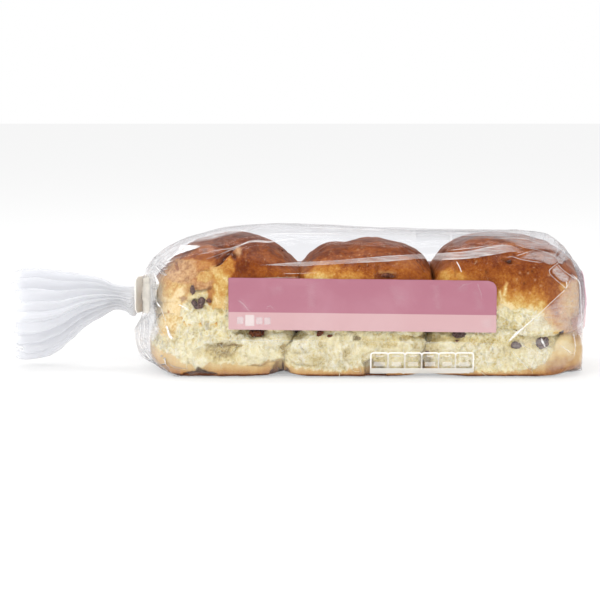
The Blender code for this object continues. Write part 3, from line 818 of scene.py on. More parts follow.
    # crust: lumps over the fruit, wrinkles, blisters, pinholes
    h1, h2, hown = worley(p * 0.060, seed + 51)
    lump = np.where(hown > 0.5, 1 - sstep(0.0, 0.46, h1), 0)
    skin_part = crust if not lower else crust * sstep(-2.0, 6.0, over)
    move += crust * (0.55 * fbm(p * 0.075, seed + 52, 3) + 0.10 * fbm(p * 0.6, seed + 53, 2)) + skin_part * 1.1 * lump
    move += skin_part * 0.30 * (ridged(p * 0.16 + 0.8 * fbm(p * 0.05, seed + 60, 2)[:, None], seed + 61, 2) - 0.72)
    c1, _, cown = worley(p * 0.33, seed + 54)
    blister = np.where(cown > 0.78, 1 - sstep(0.0, 0.20, c1), 0) * skin_part
    move += 0.25 * blister
    pale = np.maximum(pale, blister * 0.55)
    k1, _, kown = worley(p * 0.12, seed + 55)
    pin = np.where(kown > 0.74, 1 - sstep(0.0, 0.10, k1), 0) * skin_part
    move -= 0.8 * pin
    pit = np.maximum(pit, pin * 0.8)
    if not lower:
        # lip where the crust breaks off above the crumb
        move += 0.45 * np.exp(-(((above) - 1.0) / 1.5) ** 2)
    q = p + n * move[:, None]
    return dict(name=name, b=b, p=q, n=n, faces=faces, torn=torn, bake=bake, is_base=is_base, base=base, pit=pit,
                pale=pale, depth=depth, lower=lower, px=px, py=py, front=front, amber=np.zeros(len(p)))


made = {name: make_bun(name, b) for name, b in BUNS.items()}
UL, UM, UR = made["bun_upper_left"], made["bun_upper_middle"], made["bun_upper_right"]
LL, LM, LR = made["bun_lower_left"], made["bun_lower_middle"], made["bun_lower_right"]


def spot(u, px, py, rx, ry, turn=0.0, rough=0.35):
    """Soft patch of the shown face about a pixel."""
    a = math.radians(turn)
    dx, dy = u["px"] - px, u["py"] - py
    wob = 1 + rough * fbm(u["p"] * 0.22, int(px * 7 + py), 2)
    ex = (dx * math.cos(a) + dy * math.sin(a)) / rx
    ey = (-dx * math.sin(a) + dy * math.cos(a)) / ry
    return np.exp(-(ex**2 + ey**2) * wob) * u["front"]


def shape(u, px, py, rx, ry, out=0.0, turn=0.0, **tones):
    w = spot(u, px, py, rx, ry, turn)
    u["p"] = u["p"] + u["n"] * (out * w)[:, None]
    for key, value in tones.items():
        u[key] = np.clip(u[key] + value * w, 0, 1)


def score(u, pixels, depth, width, lip=0.4, dark=0.8, side=0.0):
    """A crack or crease along a row of pixels on the shown face, with painted shade along it; side lifts what lies to
    one side of it.
    """
    pts = np.stack([u["px"], u["py"]], 1) + 1.6 * np.stack([fbm(u["p"] * 0.16, 71, 3), fbm(u["p"] * 0.16, 72, 3)], 1)
    line = np.array(pixels, float)
    dist, along = polyline_distance(pts, line)
    fade = sstep(0, 0.18, along) * (1 - sstep(0.82, 1.0, along))
    w = width * (0.55 + 0.9 * fade)
    t = dist / w
    groove = np.exp(-(t**2)) * (0.25 + 0.75 * fade) * u["front"]
    ridge = np.exp(-((t - 1.9) ** 2)) * fade * u["front"]
    # which side of the line
    seg = line[-1] - line[0]
    cross = (pts - line[0]) @ np.array([-seg[1], seg[0]]) / np.linalg.norm(seg)
    sidew = np.exp(-((dist / (4.5 * width)) ** 2)) * fade * u["front"] * (cross * np.sign(side) > 0) if side else 0
    move = lip * ridge - depth * groove + (abs(side) * sidew * (1 - np.exp(-(t**2))) if side else 0)
    u["p"] = u["p"] + u["n"] * move[:, None]
    u["pit"] = np.maximum(u["pit"], np.clip(np.exp(-((t * 1.25) ** 2)) * (0.2 + 0.8 * fade) * dark, 0, 1) * u["front"])


def polygon_depth(px, py, poly):
    """Signed distance of points to a polygon of pixels, positive inside."""
    inside = np.zeros(len(px), bool)
    best = np.full(len(px), 1e9)
    for k in range(len(poly)):
        ax, ay = poly[k]
        bx, by = poly[(k + 1) % len(poly)]
        with np.errstate(divide="ignore", invalid="ignore"):
            cross = ((ay > py) != (by > py)) & (px < (bx - ax) * (py - ay) / ((by - ay) if by != ay else 1e-9) + ax)
        inside ^= cross
        t = np.clip(((px - ax) * (bx - ax) + (py - ay) * (by - ay)) / max((bx - ax) ** 2 + (by - ay) ** 2, 1e-9), 0, 1)
        best = np.minimum(best, np.hypot(px - ax - (bx - ax) * t, py - ay - (by - ay) * t))
    return np.where(inside, best, -best)


def patch(u, poly, soft=1.5, wobble=1.5, out=0.0, much=1.0, **tones):
    """Sets tones inside an outline of pixels on the shown face."""
    xs, ys = [v[0] for v in poly], [v[1] for v in poly]
    m = soft + 2 * wobble + 2
    near = (u["px"] > min(xs) - m) & (u["px"] < max(xs) + m) & (u["py"] > min(ys) - m) & (u["py"] < max(ys) + m) & (u["front"] > 0)
    if not near.any():
        return
    q = u["p"][near]
    qx = u["px"][near] + wobble * 1.8 * fbm(q * 0.24, 91, 3)
    qy = u["py"][near] + wobble * 1.8 * fbm(q * 0.24, 92, 3)
    w = np.zeros(len(u["px"]))
    w[near] = sstep(-soft, soft, polygon_depth(qx, qy, poly)) * u["front"][near] * much
    u["p"] = u["p"] + u["n"] * (out * w)[:, None]
    for key, value in tones.items():
        u[key] = u[key] * (1 - w) + value * w


# in the patches below, the darkening tones paint shade in cracks, pits, hollows and the seams between buns, and low
# depth paints shade in the crumb's recesses
# ---- left bun: a golden corner, a fleshy mottled middle, small lobes over the fruit, a golden lobe at the right
patch(UL, [(150, 262), (166, 258), (180, 259), (200, 262), (214, 270), (214, 300), (205, 306), (178, 306), (177, 330), (170, 345), (148, 345)], soft=4, wobble=2, bake=0.21)
patch(UL, [(150, 284), (160, 284), (164, 294), (176, 297), (186, 302), (196, 308), (180, 318), (176, 340), (148, 345)], soft=3, wobble=2, bake=0.08, pale=0.28)
patch(UL, [(157, 273), (164, 272), (172, 278), (177, 282), (176, 290), (170, 298), (164, 295), (160, 284)], soft=2, wobble=1.6, bake=0.28, pale=0.0)
patch(UL, [(157, 273), (166, 273), (167, 279), (160, 281)], soft=1.8, wobble=1.2, bake=0.40)
patch(UL, [(171, 297), (178, 288), (184, 287), (187, 293), (182, 297), (175, 299)], soft=1.6, wobble=1.2, bake=0.05, pale=0.40, out=0.4)
patch(UL, [(166, 262), (174, 258), (186, 260), (197, 261), (199, 270), (196, 278), (190, 284), (180, 284), (170, 280), (165, 272)], soft=2.2, wobble=2, bake=0.30, amber=1.0)
patch(UL, [(195, 257), (214, 260), (214, 269), (205, 271), (197, 273), (195, 266)], soft=3.0, wobble=1.8, bake=0.50, amber=0.25)
patch(UL, [(172, 240), (213, 240), (214, 262), (205, 261.5), (195, 260), (180, 259.5), (173, 257)], soft=1.4, wobble=1.0, bake=0.80, amber=0.0)
patch(UL, [(174, 262), (177, 262), (179, 268), (178, 272), (175.5, 270)], soft=1.0, wobble=1.0, bake=0.80, amber=0.3, pit=0.12, out=-0.6)
patch(UL, [(176, 270), (181, 270), (182, 274), (177, 274)], soft=1.2, wobble=1.0, bake=0.20, amber=1.0, pale=0.15)
patch(UL, [(184, 277), (189, 277), (189, 281), (185, 281)], soft=1.0, wobble=1.0, pit=0.22, out=-0.4)
patch(UL, [(193, 277), (197, 278), (197.5, 282), (194, 282)], soft=1.0, wobble=0.8, bake=0.74, amber=0.4, out=-0.4)
patch(UL, [(183, 284), (191, 284), (191, 296), (186, 296), (182, 290)], soft=1.6, wobble=1.2, bake=0.22, amber=0.35)
patch(UL, [(190, 281), (199, 281), (208, 281), (214, 280), (214, 286), (206, 290), (197, 291), (192, 287)], soft=1.8, wobble=1.6, bake=0.46, amber=0.9, out=1.1)
patch(UL, [(198, 272), (204, 270.5), (211, 272), (213, 277), (208, 281), (199, 281), (197, 277)], soft=2.0, wobble=1.8, bake=0.26, amber=0.25, out=0.8)
score(UL, [(197, 276), (200, 272), (205, 270.5), (211, 271.5)], 0.8, 0.7, dark=0.25)
patch(UL, [(214, 269), (222, 264), (230, 258), (236, 262), (234, 270), (230, 279), (214, 280)], soft=2.5, wobble=1.6, bake=0.43)
patch(UL, [(214, 268), (220, 266), (224, 272), (229, 276), (230, 309), (213, 309), (214, 290)], soft=1.8, wobble=1.2, bake=0.24, amber=0.0, out=0.5)
patch(UL, [(214, 298), (230, 297), (230, 311), (213, 311)], soft=3, wobble=1.5, bake=0.12, pale=0.12)
patch(UL, [(210, 267), (219, 266), (219, 274), (212, 274)], soft=1.5, wobble=1.0, bake=0.20, pale=0.15)
patch(UL, [(189, 297), (193.6, 291.6), (200, 292.2), (206, 291), (207.6, 296), (204, 303), (194, 306), (187, 303)], soft=2.6, wobble=2.6, torn=0.85, depth=0.60, out=-0.6)
patch(UL, [(207.5, 290), (213, 286.4), (214, 292), (212.6, 299), (211, 304.4), (207.4, 302.4), (208.4, 296)], soft=1.8, wobble=1.8, bake=0.56, torn=0.0, amber=0.3, out=-1.0)
score(UL, [(195, 291), (200, 291), (206, 289.6), (213, 287)], 1.2, 0.9, dark=0.5)
patch(UL, [(180, 297.4), (184, 296.6), (187, 298.6), (185.4, 301.6), (181.4, 301.2)], soft=1.4, wobble=1.4, pit=0.34, torn=0.2, bake=0.5, amber=0.8, out=-0.4)
patch(UL, [(186.4, 301.6), (190, 301.4), (190.4, 304.4), (187, 304.6)], soft=1.0, wobble=0.6, pale=0.6, bake=0.0, out=0.3)
patch(UL, [(168.6, 306.8), (170.6, 307), (170.2, 309.6), (168.8, 309.2)], soft=0.6, wobble=0.4, bake=0.72, amber=0.2, pale=0.0)
shape(UL, 204, 255, 17, 10, out=1.4)
shape(UL, 262, 258, 24, 15, out=1.0, bake=0.03)
score(UL, [(239, 243), (234, 249), (227, 257), (220, 264), (213, 268)], 1.9, 0.95, lip=0.4, dark=0.60, side=-1.1)
score(UL, [(214, 259), (220, 256), (228, 250), (236, 243)], 1.0, 0.9, lip=0.3, dark=0.40)
score(UL, [(199, 246), (208, 243), (217, 245), (226, 249), (231, 254)], 1.3, 1.0, lip=0.3, dark=0.5)
score(UL, [(225, 240), (231, 243), (236, 249)], 1.1, 1.0, dark=0.5)
score(UL, [(160, 262), (170, 263), (178, 261)], 0.9, 0.9, dark=0.4)
score(UL, [(275, 246), (281, 253), (287, 262)], 0.9, 0.9, dark=0.5)
patch(UL, [(275, 244), (283, 246), (287, 253), (283, 256), (276, 252)], soft=2.2, wobble=1, bake=0.30, amber=0.4, out=1.0)
patch(UL, [(282, 253), (287, 255), (288, 259), (284, 259)], soft=0.8, wobble=1, pit=0.7, out=-0.8)
patch(UL, [(236, 250), (240, 249), (241, 253), (239, 256), (236.5, 255)], soft=2.6, wobble=1.8, pale=0.34, bake=0.55, amber=0.5, out=0.4)
patch(UL, [(232, 254), (236, 255), (236, 259), (233, 259)], soft=0.8, wobble=1, pit=0.8, out=-1.0)
patch(UL, [(214, 241), (222, 240), (224, 245), (218, 248), (213, 245)], soft=1.4, wobble=1.5, pit=0.55, out=-1.4)
patch(UL, [(202, 250), (207, 249), (208, 254), (203, 255)], soft=1, wobble=1, pit=0.45, out=-0.6)
patch(UL, [(206, 321), (208.5, 321), (209, 330), (205.5, 329)], soft=0.8, wobble=1.5, pit=0.35, out=-0.5)
shape(UL, 192, 320, 16, 9, out=0.8, depth=0.12)
shape(UL, 214, 322, 10, 8, out=0.9, depth=0.08)
patch(UL, [(238, 331), (266, 331), (272, 336), (262, 341), (246, 340)], soft=1.5, wobble=1.5, out=-2.6, depth=0.12)
patch(UL, [(262, 336.5), (280, 333), (299, 331), (299, 336), (280, 338), (264, 341)], soft=1.2, wobble=0.8, out=-2.0, pit=0.4)
# ---- middle bun
patch(UM, [(306, 266), (318, 261), (340, 265), (358, 271), (360, 284), (304, 284)], soft=7, wobble=3, bake=0.54)
patch(UM, [(309, 272), (328, 273), (346, 277), (346, 284), (306, 284)], soft=4, wobble=2.5, bake=0.42)
patch(UM, [(314, 274), (332, 275), (332, 280), (314, 280)], soft=3, wobble=1.5, bake=0.32)
patch(UM, [(378, 262), (402, 258), (424, 262), (430, 280), (378, 280)], soft=5, wobble=3, bake=0.76)
# painted shade in the gap where the left and middle buns meet
patch(UM, [(299, 264), (304, 266), (306, 274), (302, 279), (298, 276)], soft=1.6, wobble=1, bake=0.40, pit=0.42)
patch(UM, [(300, 268), (302.5, 268), (303.5, 273), (301, 276)], soft=0.9, wobble=0.8, pit=0.75, out=-0.6)
shape(UM, 346, 240, 5, 8, out=-1.2)
shape(UM, 332, 244, 12, 9, out=0.6)
shape(UM, 375, 247, 22, 12, out=0.5)
score(UM, [(401, 242), (404, 246), (408, 249), (413, 253)], 1.6, 0.8, lip=0.35, dark=0.75)
score(UM, [(416, 258), (420, 262), (423, 267), (425, 272)], 1.5, 0.9, dark=0.75)
score(UM, [(377, 264), (376.5, 269), (377, 276)], 0.9, 0.9, dark=0.25)
patch(UM, [(374, 274), (384, 272.5), (396, 274), (395, 279), (375, 279)], soft=2.4, wobble=1.8, pit=0.34, bake=0.85, out=-1.2)
patch(UM, [(379, 271.2), (390, 270.6), (396, 272.2), (390, 273.2), (380, 273.2)], soft=1.8, wobble=1.4, pale=0.14, bake=0.5, out=0.3)
score(UM, [(298, 272), (302, 275), (305, 279)], 1.2, 1.2, dark=0.5)
# painted shade in the dark holes of the seam between the two layers
patch(UM, [(313, 330), (324, 330), (327, 335), (322, 339), (316, 337)], soft=1.0, wobble=1.0, out=-3.4, pit=0.92)
patch(UM, [(283, 334), (290, 330), (300, 330), (299, 333), (290, 334.5), (284, 337)], soft=0.8, wobble=0.8, out=-2.6, pit=0.85)
patch(UM, [(326, 334), (337, 333), (338, 336), (328, 338)], soft=0.8, wobble=1.0, out=-2.2, pit=0.8)
patch(UM, [(344, 333), (348, 333), (348, 338), (345, 338)], soft=0.8, wobble=0.8, out=-1.6, pit=0.75)
patch(UM, [(347, 330), (356, 330), (356, 333), (348, 333)], soft=0.8, wobble=0.8, pit=0.55)
patch(UM, [(390, 330), (394, 331), (401, 332), (401, 335), (393, 335)], soft=0.8, wobble=1.2, pit=0.35, out=-0.6)
patch(UM, [(360, 331), (392, 331), (398, 342), (362, 342)], soft=2.0, wobble=2, out=1.6, depth=0.70)
patch(UM, [(421, 338), (427, 332), (432, 332), (432, 343), (424, 343)], soft=1.6, wobble=1.2, out=-2.4, pit=0.85)
# ---- right bun
shape(UR, 470, 250, 20, 10, out=0.4)
patch(UR, [(432, 272), (444, 270), (456, 271), (456, 284), (430, 284)], soft=5, wobble=2.5, bake=0.42, out=0.8)
patch(UR, [(455, 273), (465, 272), (466, 284), (454, 284)], soft=5, wobble=2.5, bake=0.52)
score(UR, [(455, 266), (456, 272), (454, 279)], 0.7, 0.9, dark=0.22)
score(UR, [(500, 259), (507, 262), (514, 264)], 1.0, 1.0, dark=0.4)
score(UR, [(486, 270), (487, 274)], 0.7, 0.7, dark=0.6)
patch(UR, [(531, 270), (533, 270), (533.5, 273), (531, 273)], soft=0.7, wobble=0.5, pit=0.7)
patch(UR, [(523, 282), (525, 282), (525.5, 284.5), (523, 284.5)], soft=0.7, wobble=0.5, pit=0.6)
patch(UR, [(505.5, 282), (508, 283), (507, 290), (504.5, 296), (502.5, 297), (504, 290)], soft=1.3, wobble=0.8, bake=0.22, pale=0.2, out=0.4)
patch(UR, [(498.5, 290), (500.5, 290), (503, 297), (501, 301)], soft=1.3, wobble=0.8, bake=0.22, pale=0.15, out=0.3)
for sx, sy in ((520, 273), (528, 273.3), (535, 280), (530, 293), (517, 279), (541, 286), (474, 247), (447, 250), (489, 247), (476, 262), (549, 275), (515, 290), (522, 297), (537, 299)):
    patch(UR, [(sx - 0.9, sy - 0.8), (sx + 0.9, sy - 0.8), (sx + 0.9, sy + 0.8), (sx - 0.9, sy + 0.8)], soft=0.9, wobble=0.4, pale=0.26, out=0.15)
for sx, sy in ((352, 245), (358, 250), (362, 248), (384, 247), (331, 252), (341, 256), (390, 254), (397, 264), (321, 262), (368, 259)):
    patch(UM, [(sx - 0.8, sy - 0.7), (sx + 0.8, sy - 0.7), (sx + 0.8, sy + 0.7), (sx - 0.8, sy + 0.7)], soft=0.9, wobble=0.4, pale=0.22, out=0.15)
shape(UR, 535, 262, 24, 8, out=0.5)
shape(UR, 520, 328, 12, 7, out=1.2, depth=0.2)
shape(UR, 502, 326, 8, 10, out=-0.5, depth=-0.15)
shape(UR, 545, 324, 10, 6, out=0.6)
patch(UR, [(560, 286), (582, 276), (584, 318), (572, 330), (560, 318)], soft=4, wobble=2.5, bake=0.38, amber=0.55)
patch(UR, [(560, 300), (574, 300), (574, 320), (562, 322)], soft=4, wobble=2, bake=0.27, amber=0.4)
patch(UR, [(420, 331), (440, 331), (446, 336), (436, 340), (424, 340)], soft=1, wobble=1, out=-2.6, depth=0.1, pit=0.4)
# ---- lower left: a hollow with the crumb pulled out, a smooth lump beside it, two lobes at the base
patch(LL, [(209, 346), (222, 343), (240, 346), (238, 352), (229, 359), (215, 360), (206, 353)], soft=4.0, wobble=3.5, out=-2.6, depth=0.06, pit=0.04)
patch(LL, [(208, 344.5), (222, 342.9), (238, 343.6), (243, 346.6), (222, 347.6), (209, 348.0)], soft=1.0, wobble=1.8, out=-2.0, depth=0.0, pit=0.20)
patch(LL, [(216, 354), (230, 352), (231, 357), (218, 359)], soft=1.4, wobble=2.0, out=-1.0, pit=0.16)
patch(LL, [(208, 338), (236, 336.5), (238, 341.5), (222, 340.6), (208, 343)], soft=1.4, wobble=1.4, out=1.3, depth=0.80)
patch(LL, [(246, 339), (262, 337), (278, 341), (283, 350), (279, 360), (262, 366), (248, 362)], soft=3, wobble=2, out=1.8, depth=0.82)
patch(LL, [(190, 358), (203, 356), (210, 361), (206, 368), (195, 369)], soft=2, wobble=1.5, out=1.0, depth=0.95)
patch(LL, [(138, 306), (178, 306), (177.5, 326), (174.5, 337), (170, 341), (164, 336), (156, 333), (146, 331), (138, 327)], soft=1.6, wobble=1.6, torn=0.0, is_base=0.0, bake=0.12, out=0.9)
# painted light: lightens the shaded left side of the left bun
patch(UL, [(146, 272), (157, 270), (160, 284), (163, 300), (164, 316), (160, 336), (146, 336)], soft=3.5, wobble=2.0, pale=0.55, bake=0.0)
for u, rise in ((UL, -3.6), (LL, 3.6)):
    w = sstep(190, 174, u["px"]) * u["front"] * np.exp(-(((u["py"] - 313) / 10.0) ** 2))
    u["p"][:, 2] += rise * w
shape(LL, 165, 319, 14, 7, out=1.2)
shape(UL, 165, 309, 14, 7, out=1.0)
shape(LL, 176, 350, 14, 9, out=0.6, depth=0.1)
score(LL, [(280, 341), (283, 350), (281, 360)], 1.2, 1.4, dark=0.22)
patch(LL, [(279, 345), (286, 344), (287, 353), (282, 356), (277, 352)], soft=1.3, wobble=1.3, out=-1.5, depth=0.05)
score(LL, [(246, 366), (258, 366), (270, 362), (282, 357)], 1.2, 0.9, lip=0.0, dark=0.3)
# painted shadow in the notches between the base lobes and along the bottom edge
patch(LL, [(183, 373.4), (190, 372.0), (195.4, 371.0), (197.2, 366.6), (200.5, 368.2), (205, 370.8), (209.5, 372.8), (217, 374.2), (217, 380), (183, 380)], soft=1.0, wobble=0.5, out=-3.6, pit=0.66)
patch(LL, [(176, 374.6), (240, 374.9), (240, 380), (176, 380)], soft=0.8, wobble=0.4, pit=0.45)
patch(LL, [(273, 366), (280, 360), (292, 358), (292, 380), (268, 380)], soft=1.6, wobble=1.0, out=-3.0, pit=0.55)
patch(LL, [(163, 344), (168, 343), (170, 346), (164, 347)], soft=0.9, wobble=0.8, pit=0.15)
# ---- lower middle
patch(LM, [(329, 337), (340, 336), (344, 356), (341, 371), (332, 370), (327, 355)], soft=4, wobble=3, out=1.8, depth=0.80)
patch(LM, [(346, 334), (350, 333), (353.5, 342), (353, 358), (351, 358), (350, 345)], soft=1.6, wobble=1.6, out=1.4, depth=1.0)
patch(LM, [(339.5, 344), (341.5, 344), (342.5, 364), (341, 364)], soft=1.4, wobble=1.4, out=0.9, depth=1.0)
patch(LM, [(343, 350), (348, 349), (351, 354), (349, 360), (344, 360)], soft=3, wobble=2.5, out=-1.0, depth=0.30, pit=0.14)
patch(LM, [(310, 355), (317, 354), (324, 358), (323, 365), (314, 366), (309, 361)], soft=4, wobble=3, out=-0.3, depth=0.25, pit=0.16)
patch(LM, [(288, 341), (312, 341), (314, 350), (292, 352)], soft=4, wobble=2, out=1.2, depth=0.9)
patch(LM, [(292, 355), (306, 355), (306, 363), (294, 364)], soft=4, wobble=2, out=0.9, depth=0.85)
score(LM, [(290, 352.5), (300, 353.5), (312, 352)], 1.0, 0.9, lip=0.2, dark=0.2)
score(LM, [(288, 361), (294, 364.5), (306, 366), (320, 366)], 0.9, 0.9, lip=0.2, dark=0.2)
patch(LM, [(353, 338), (361, 338), (361, 341.5), (353, 341.5)], soft=0.8, wobble=0.8, out=-1.2, pit=0.6)
patch(LM, [(362, 341), (380, 344), (398, 344), (397, 347), (380, 346), (362, 345)], soft=2.0, wobble=2.0, out=-1.4, depth=0.25, pit=0.12)
patch(LM, [(399, 340), (407, 339), (407, 342), (400, 342)], soft=0.8, wobble=0.8, out=-1.0, pit=0.4)
patch(LM, [(280, 330), (300, 330), (297, 334), (288, 341), (280, 343)], soft=1.4, wobble=1, out=-1.5, depth=0.2, pit=0.2)
patch(LM, [(411, 343), (419, 343), (419, 350), (412, 350)], soft=1.6, wobble=1.5, depth=0.3, pit=0.14)
patch(LM, [(374, 356), (384, 356), (386, 364), (375, 365)], soft=2, wobble=1.5, depth=0.35, pit=0.12)
patch(LM, [(363, 362), (372, 360), (384, 368), (388, 380), (366, 380)], soft=1.4, wobble=1.0, out=-2.6, pit=0.45)
patch(LM, [(276, 361), (281, 361), (289, 372), (291, 380), (272, 380)], soft=1.4, wobble=0.8, out=-2.4, pit=0.5)
patch(LM, [(421, 336), (428, 332), (434, 334), (434, 341), (424, 342)], soft=1.2, wobble=1, out=-2.0, pit=0.80)
patch(LM, [(420, 344), (434, 344), (434, 354), (422, 353)], soft=2, wobble=1.5, depth=0.3, pit=0.2)
patch(LM, [(419, 354), (429, 353), (429, 368), (421, 368)], soft=2.5, wobble=1.5, out=-1.0, pit=0.45)
patch(LM, [(402, 335), (424, 333), (424, 340), (402, 341)], soft=1.6, wobble=1.2, out=-0.8, depth=0.15, pit=0.12)
patch(LR, [(423, 354), (430, 353), (433, 360), (431, 369), (423, 369)], soft=2.2, wobble=1.5, out=-1.4, pit=0.55)
patch(LR, [(423, 344), (430, 344), (430, 354), (423, 354)], soft=2.2, wobble=1.5, out=-0.8, depth=0.3, pit=0.26)
# ---- lower right
shape(LR, 500, 352, 18, 8, out=0.4, depth=-0.05)
patch(LR, [(423, 333), (428, 332), (433, 336), (430, 341), (423, 341)], soft=1.0, wobble=0.8, out=-1.6, pit=0.80)
patch(LR, [(430, 336), (438, 337), (446, 341), (440, 343), (428, 342)], soft=1.2, wobble=1, out=-1.2, depth=0.2, pit=0.18)
patch(LR, [(424, 346), (438, 345), (440, 353), (424, 355)], soft=2, wobble=1.5, depth=0.3, pit=0.2)
patch(LR, [(440, 338), (460, 339), (500, 341), (506, 344), (480, 345), (442, 342)], soft=1.3, wobble=0.8, out=-1.2, depth=0.25)
patch(LR, [(505, 338), (560, 336), (560, 349), (506, 350)], soft=3, wobble=2, out=-1.0, depth=0.45)
patch(LR, [(524, 350), (548, 350), (556, 360), (535, 368), (522, 362)], soft=4, wobble=2, out=0.6, depth=0.8)
# darker toward the right edge and the bottom: painted shade where the end turns from the light, with the browner baked
# base low down, and a paler band between
patch(LR, [(564, 318), (588, 310), (588, 334), (578, 338), (566, 330)], soft=3, wobble=2, base=0.66, amber=0.6)
patch(LR, [(548, 364), (580, 354), (586, 378), (545, 378)], soft=4, wobble=2, base=0.60)
patch(LR, [(546, 369), (556, 366), (570, 366), (584, 360), (586, 380), (544, 380)], soft=2.5, wobble=1.5, base=0.84)
patch(LR, [(550, 328), (566, 324), (582, 332), (582, 356), (562, 356), (550, 344)], soft=5, wobble=3, base=0.06)
patch(LR, [(572, 340), (584, 338), (584, 362), (574, 362)], soft=4, wobble=2, base=0.42)
patch(LR, [(568, 327), (575, 321), (584, 318), (584, 342), (574, 340), (567, 334)], soft=3, wobble=2, base=0.66)
for u, rise in ((UR, -3.4), (LR, 3.4)):
    w = sstep(546, 566, u["px"]) * sstep(-0.4, 0.1, -u["n"][:, 1]) * np.exp(-(((u["py"] - 325) / 9.0) ** 2))
    u["p"][:, 2] += rise * w
patch(UR, [(562, 316), (576, 312), (586, 312), (586, 330), (566, 328)], soft=2.5, wobble=1.5, bake=0.50, amber=0.9)

# hollows the visible fruit sits in, darkened with painted shade
for (fx, fy), ln, wd, ht, turn, sunk, kind in SEEN_FRUIT:
    for u in (UL, UM, UR, LL, LM, LR):
        k = 0.5 * (ln + wd) / 2 / 0.65
        shape(u, fx, fy + 0.4, k + 1.6, k * 0.8 + 1.2, out=-1.1, depth=-0.25, pit=0.28)

# the two layers press together, so the crease between them stays shallow
for up, down in ((UM, LM), (UR, LR)):
    for u, rise in ((up, -1.9), (down, 1.9)):
        w = u["front"] * np.exp(-(((u["py"] - 335.5) / 7.5) ** 2)) * sstep(300, 312, u["px"]) * (1 - sstep(545, 556, u["px"]))
        w = w * (1 - np.exp(-(((u["px"] - 428) / 7.0) ** 2)))
        u["p"][:, 2] += rise * w
for u, less in ((UR, 0.055), (UM, 0.03)):
    u["bake"] = np.clip(u["bake"] - less, 0, 1)

# neighbours in the lower layer press on each other above the notch at the base
for u, left, right in ((LL, False, True), (LM, True, True), (LR, True, False)):
    b, (x, y, z) = u["b"], u["p"].T
    mid, half = (b["x0"] + b["x1"]) / 2, (b["x1"] - b["x0"]) / 2
    level = sstep(9.0, 16.0, z) * (1 - sstep(36.0, 44.0, z)) * (1 - sstep(0.0, 30.0, y))
    side = (x - mid) / half
    x = x + right * 1.5 * sstep(0.84, 0.97, side) * level - left * 1.5 * sstep(0.84, 0.97, -side) * level
    u["p"][:, 0] = x

# the lower left bun's end curves up off the table
x, y, z = LL["p"].T
floor_z = 10.5 * (np.clip(-84.0 - x, 0.0, None) / 15.0) ** 1.8
LL["p"][:, 2] = np.where(z < floor_z, floor_z + 0.22 * (z - 0.3), np.maximum(z, floor_z + 0.22 * (z - 0.3)))

# neighbours in the upper layer press on each other below the valleys between the domes
for u, left, right in ((UL, False, True), (UM, True, True), (UR, True, False)):
    b, (x, y, z) = u["b"], u["p"].T
    mid, half = (b["x0"] + b["x1"]) / 2, (b["x1"] - b["x0"]) / 2
    level = (1 - sstep(66.0, 71.0, z)) * sstep(28.0, 40.0, z) * (1 - sstep(36.0, 44.0, np.abs(y)))
    side = (x - mid) / half
    x = x + right * 1.9 * sstep(0.80, 0.97, side) * level - left * 1.9 * sstep(0.80, 0.97, -side) * level
    u["p"] = np.stack([x, y, z], 1)

# the upper buns rest on the lower ones
for u in (UL, UM, UR):
    for lb in (BUNS["bun_lower_left"], BUNS["bun_lower_middle"], BUNS["bun_lower_right"]):
        x, y, z = u["p"].T
        over = (x > lb["x0"]) & (x < lb["x1"])
        rest = lower_top(x, y, lb) + 0.8
        under = over & (z < rest) & (z < 48) & (np.abs(y) < 41)
        u["p"][:, 2] = np.where(under, rest, z)

# painted shade in small pits across the lower left hollow
for sx, sy in ((214, 351), (217, 354), (221, 352), (219, 357), (224, 355), (228, 353), (226, 358), (231, 356), (215, 358), (222, 348), (229, 349), (211, 355)):
    patch(LL, [(sx - 0.9, sy - 0.7), (sx + 0.9, sy - 0.7), (sx + 0.9, sy + 0.7), (sx - 0.9, sy + 0.7)], soft=0.8, wobble=0.6, pit=0.42, out=-0.5)

bun_objects = []
for name, u in made.items():
    obj = mesh_object(name, u["p"], u["faces"], attributes=dict(
        bake=u["bake"], torn=u["torn"], is_base=u["is_base"], base=u["base"], pit=u["pit"], pale=u["pale"],
        depth=u["depth"], amber=u["amber"]))
    obj.data.materials.append(BUN)
    bun_objects.append(obj)
bun_tree = bvh_of(bun_objects)

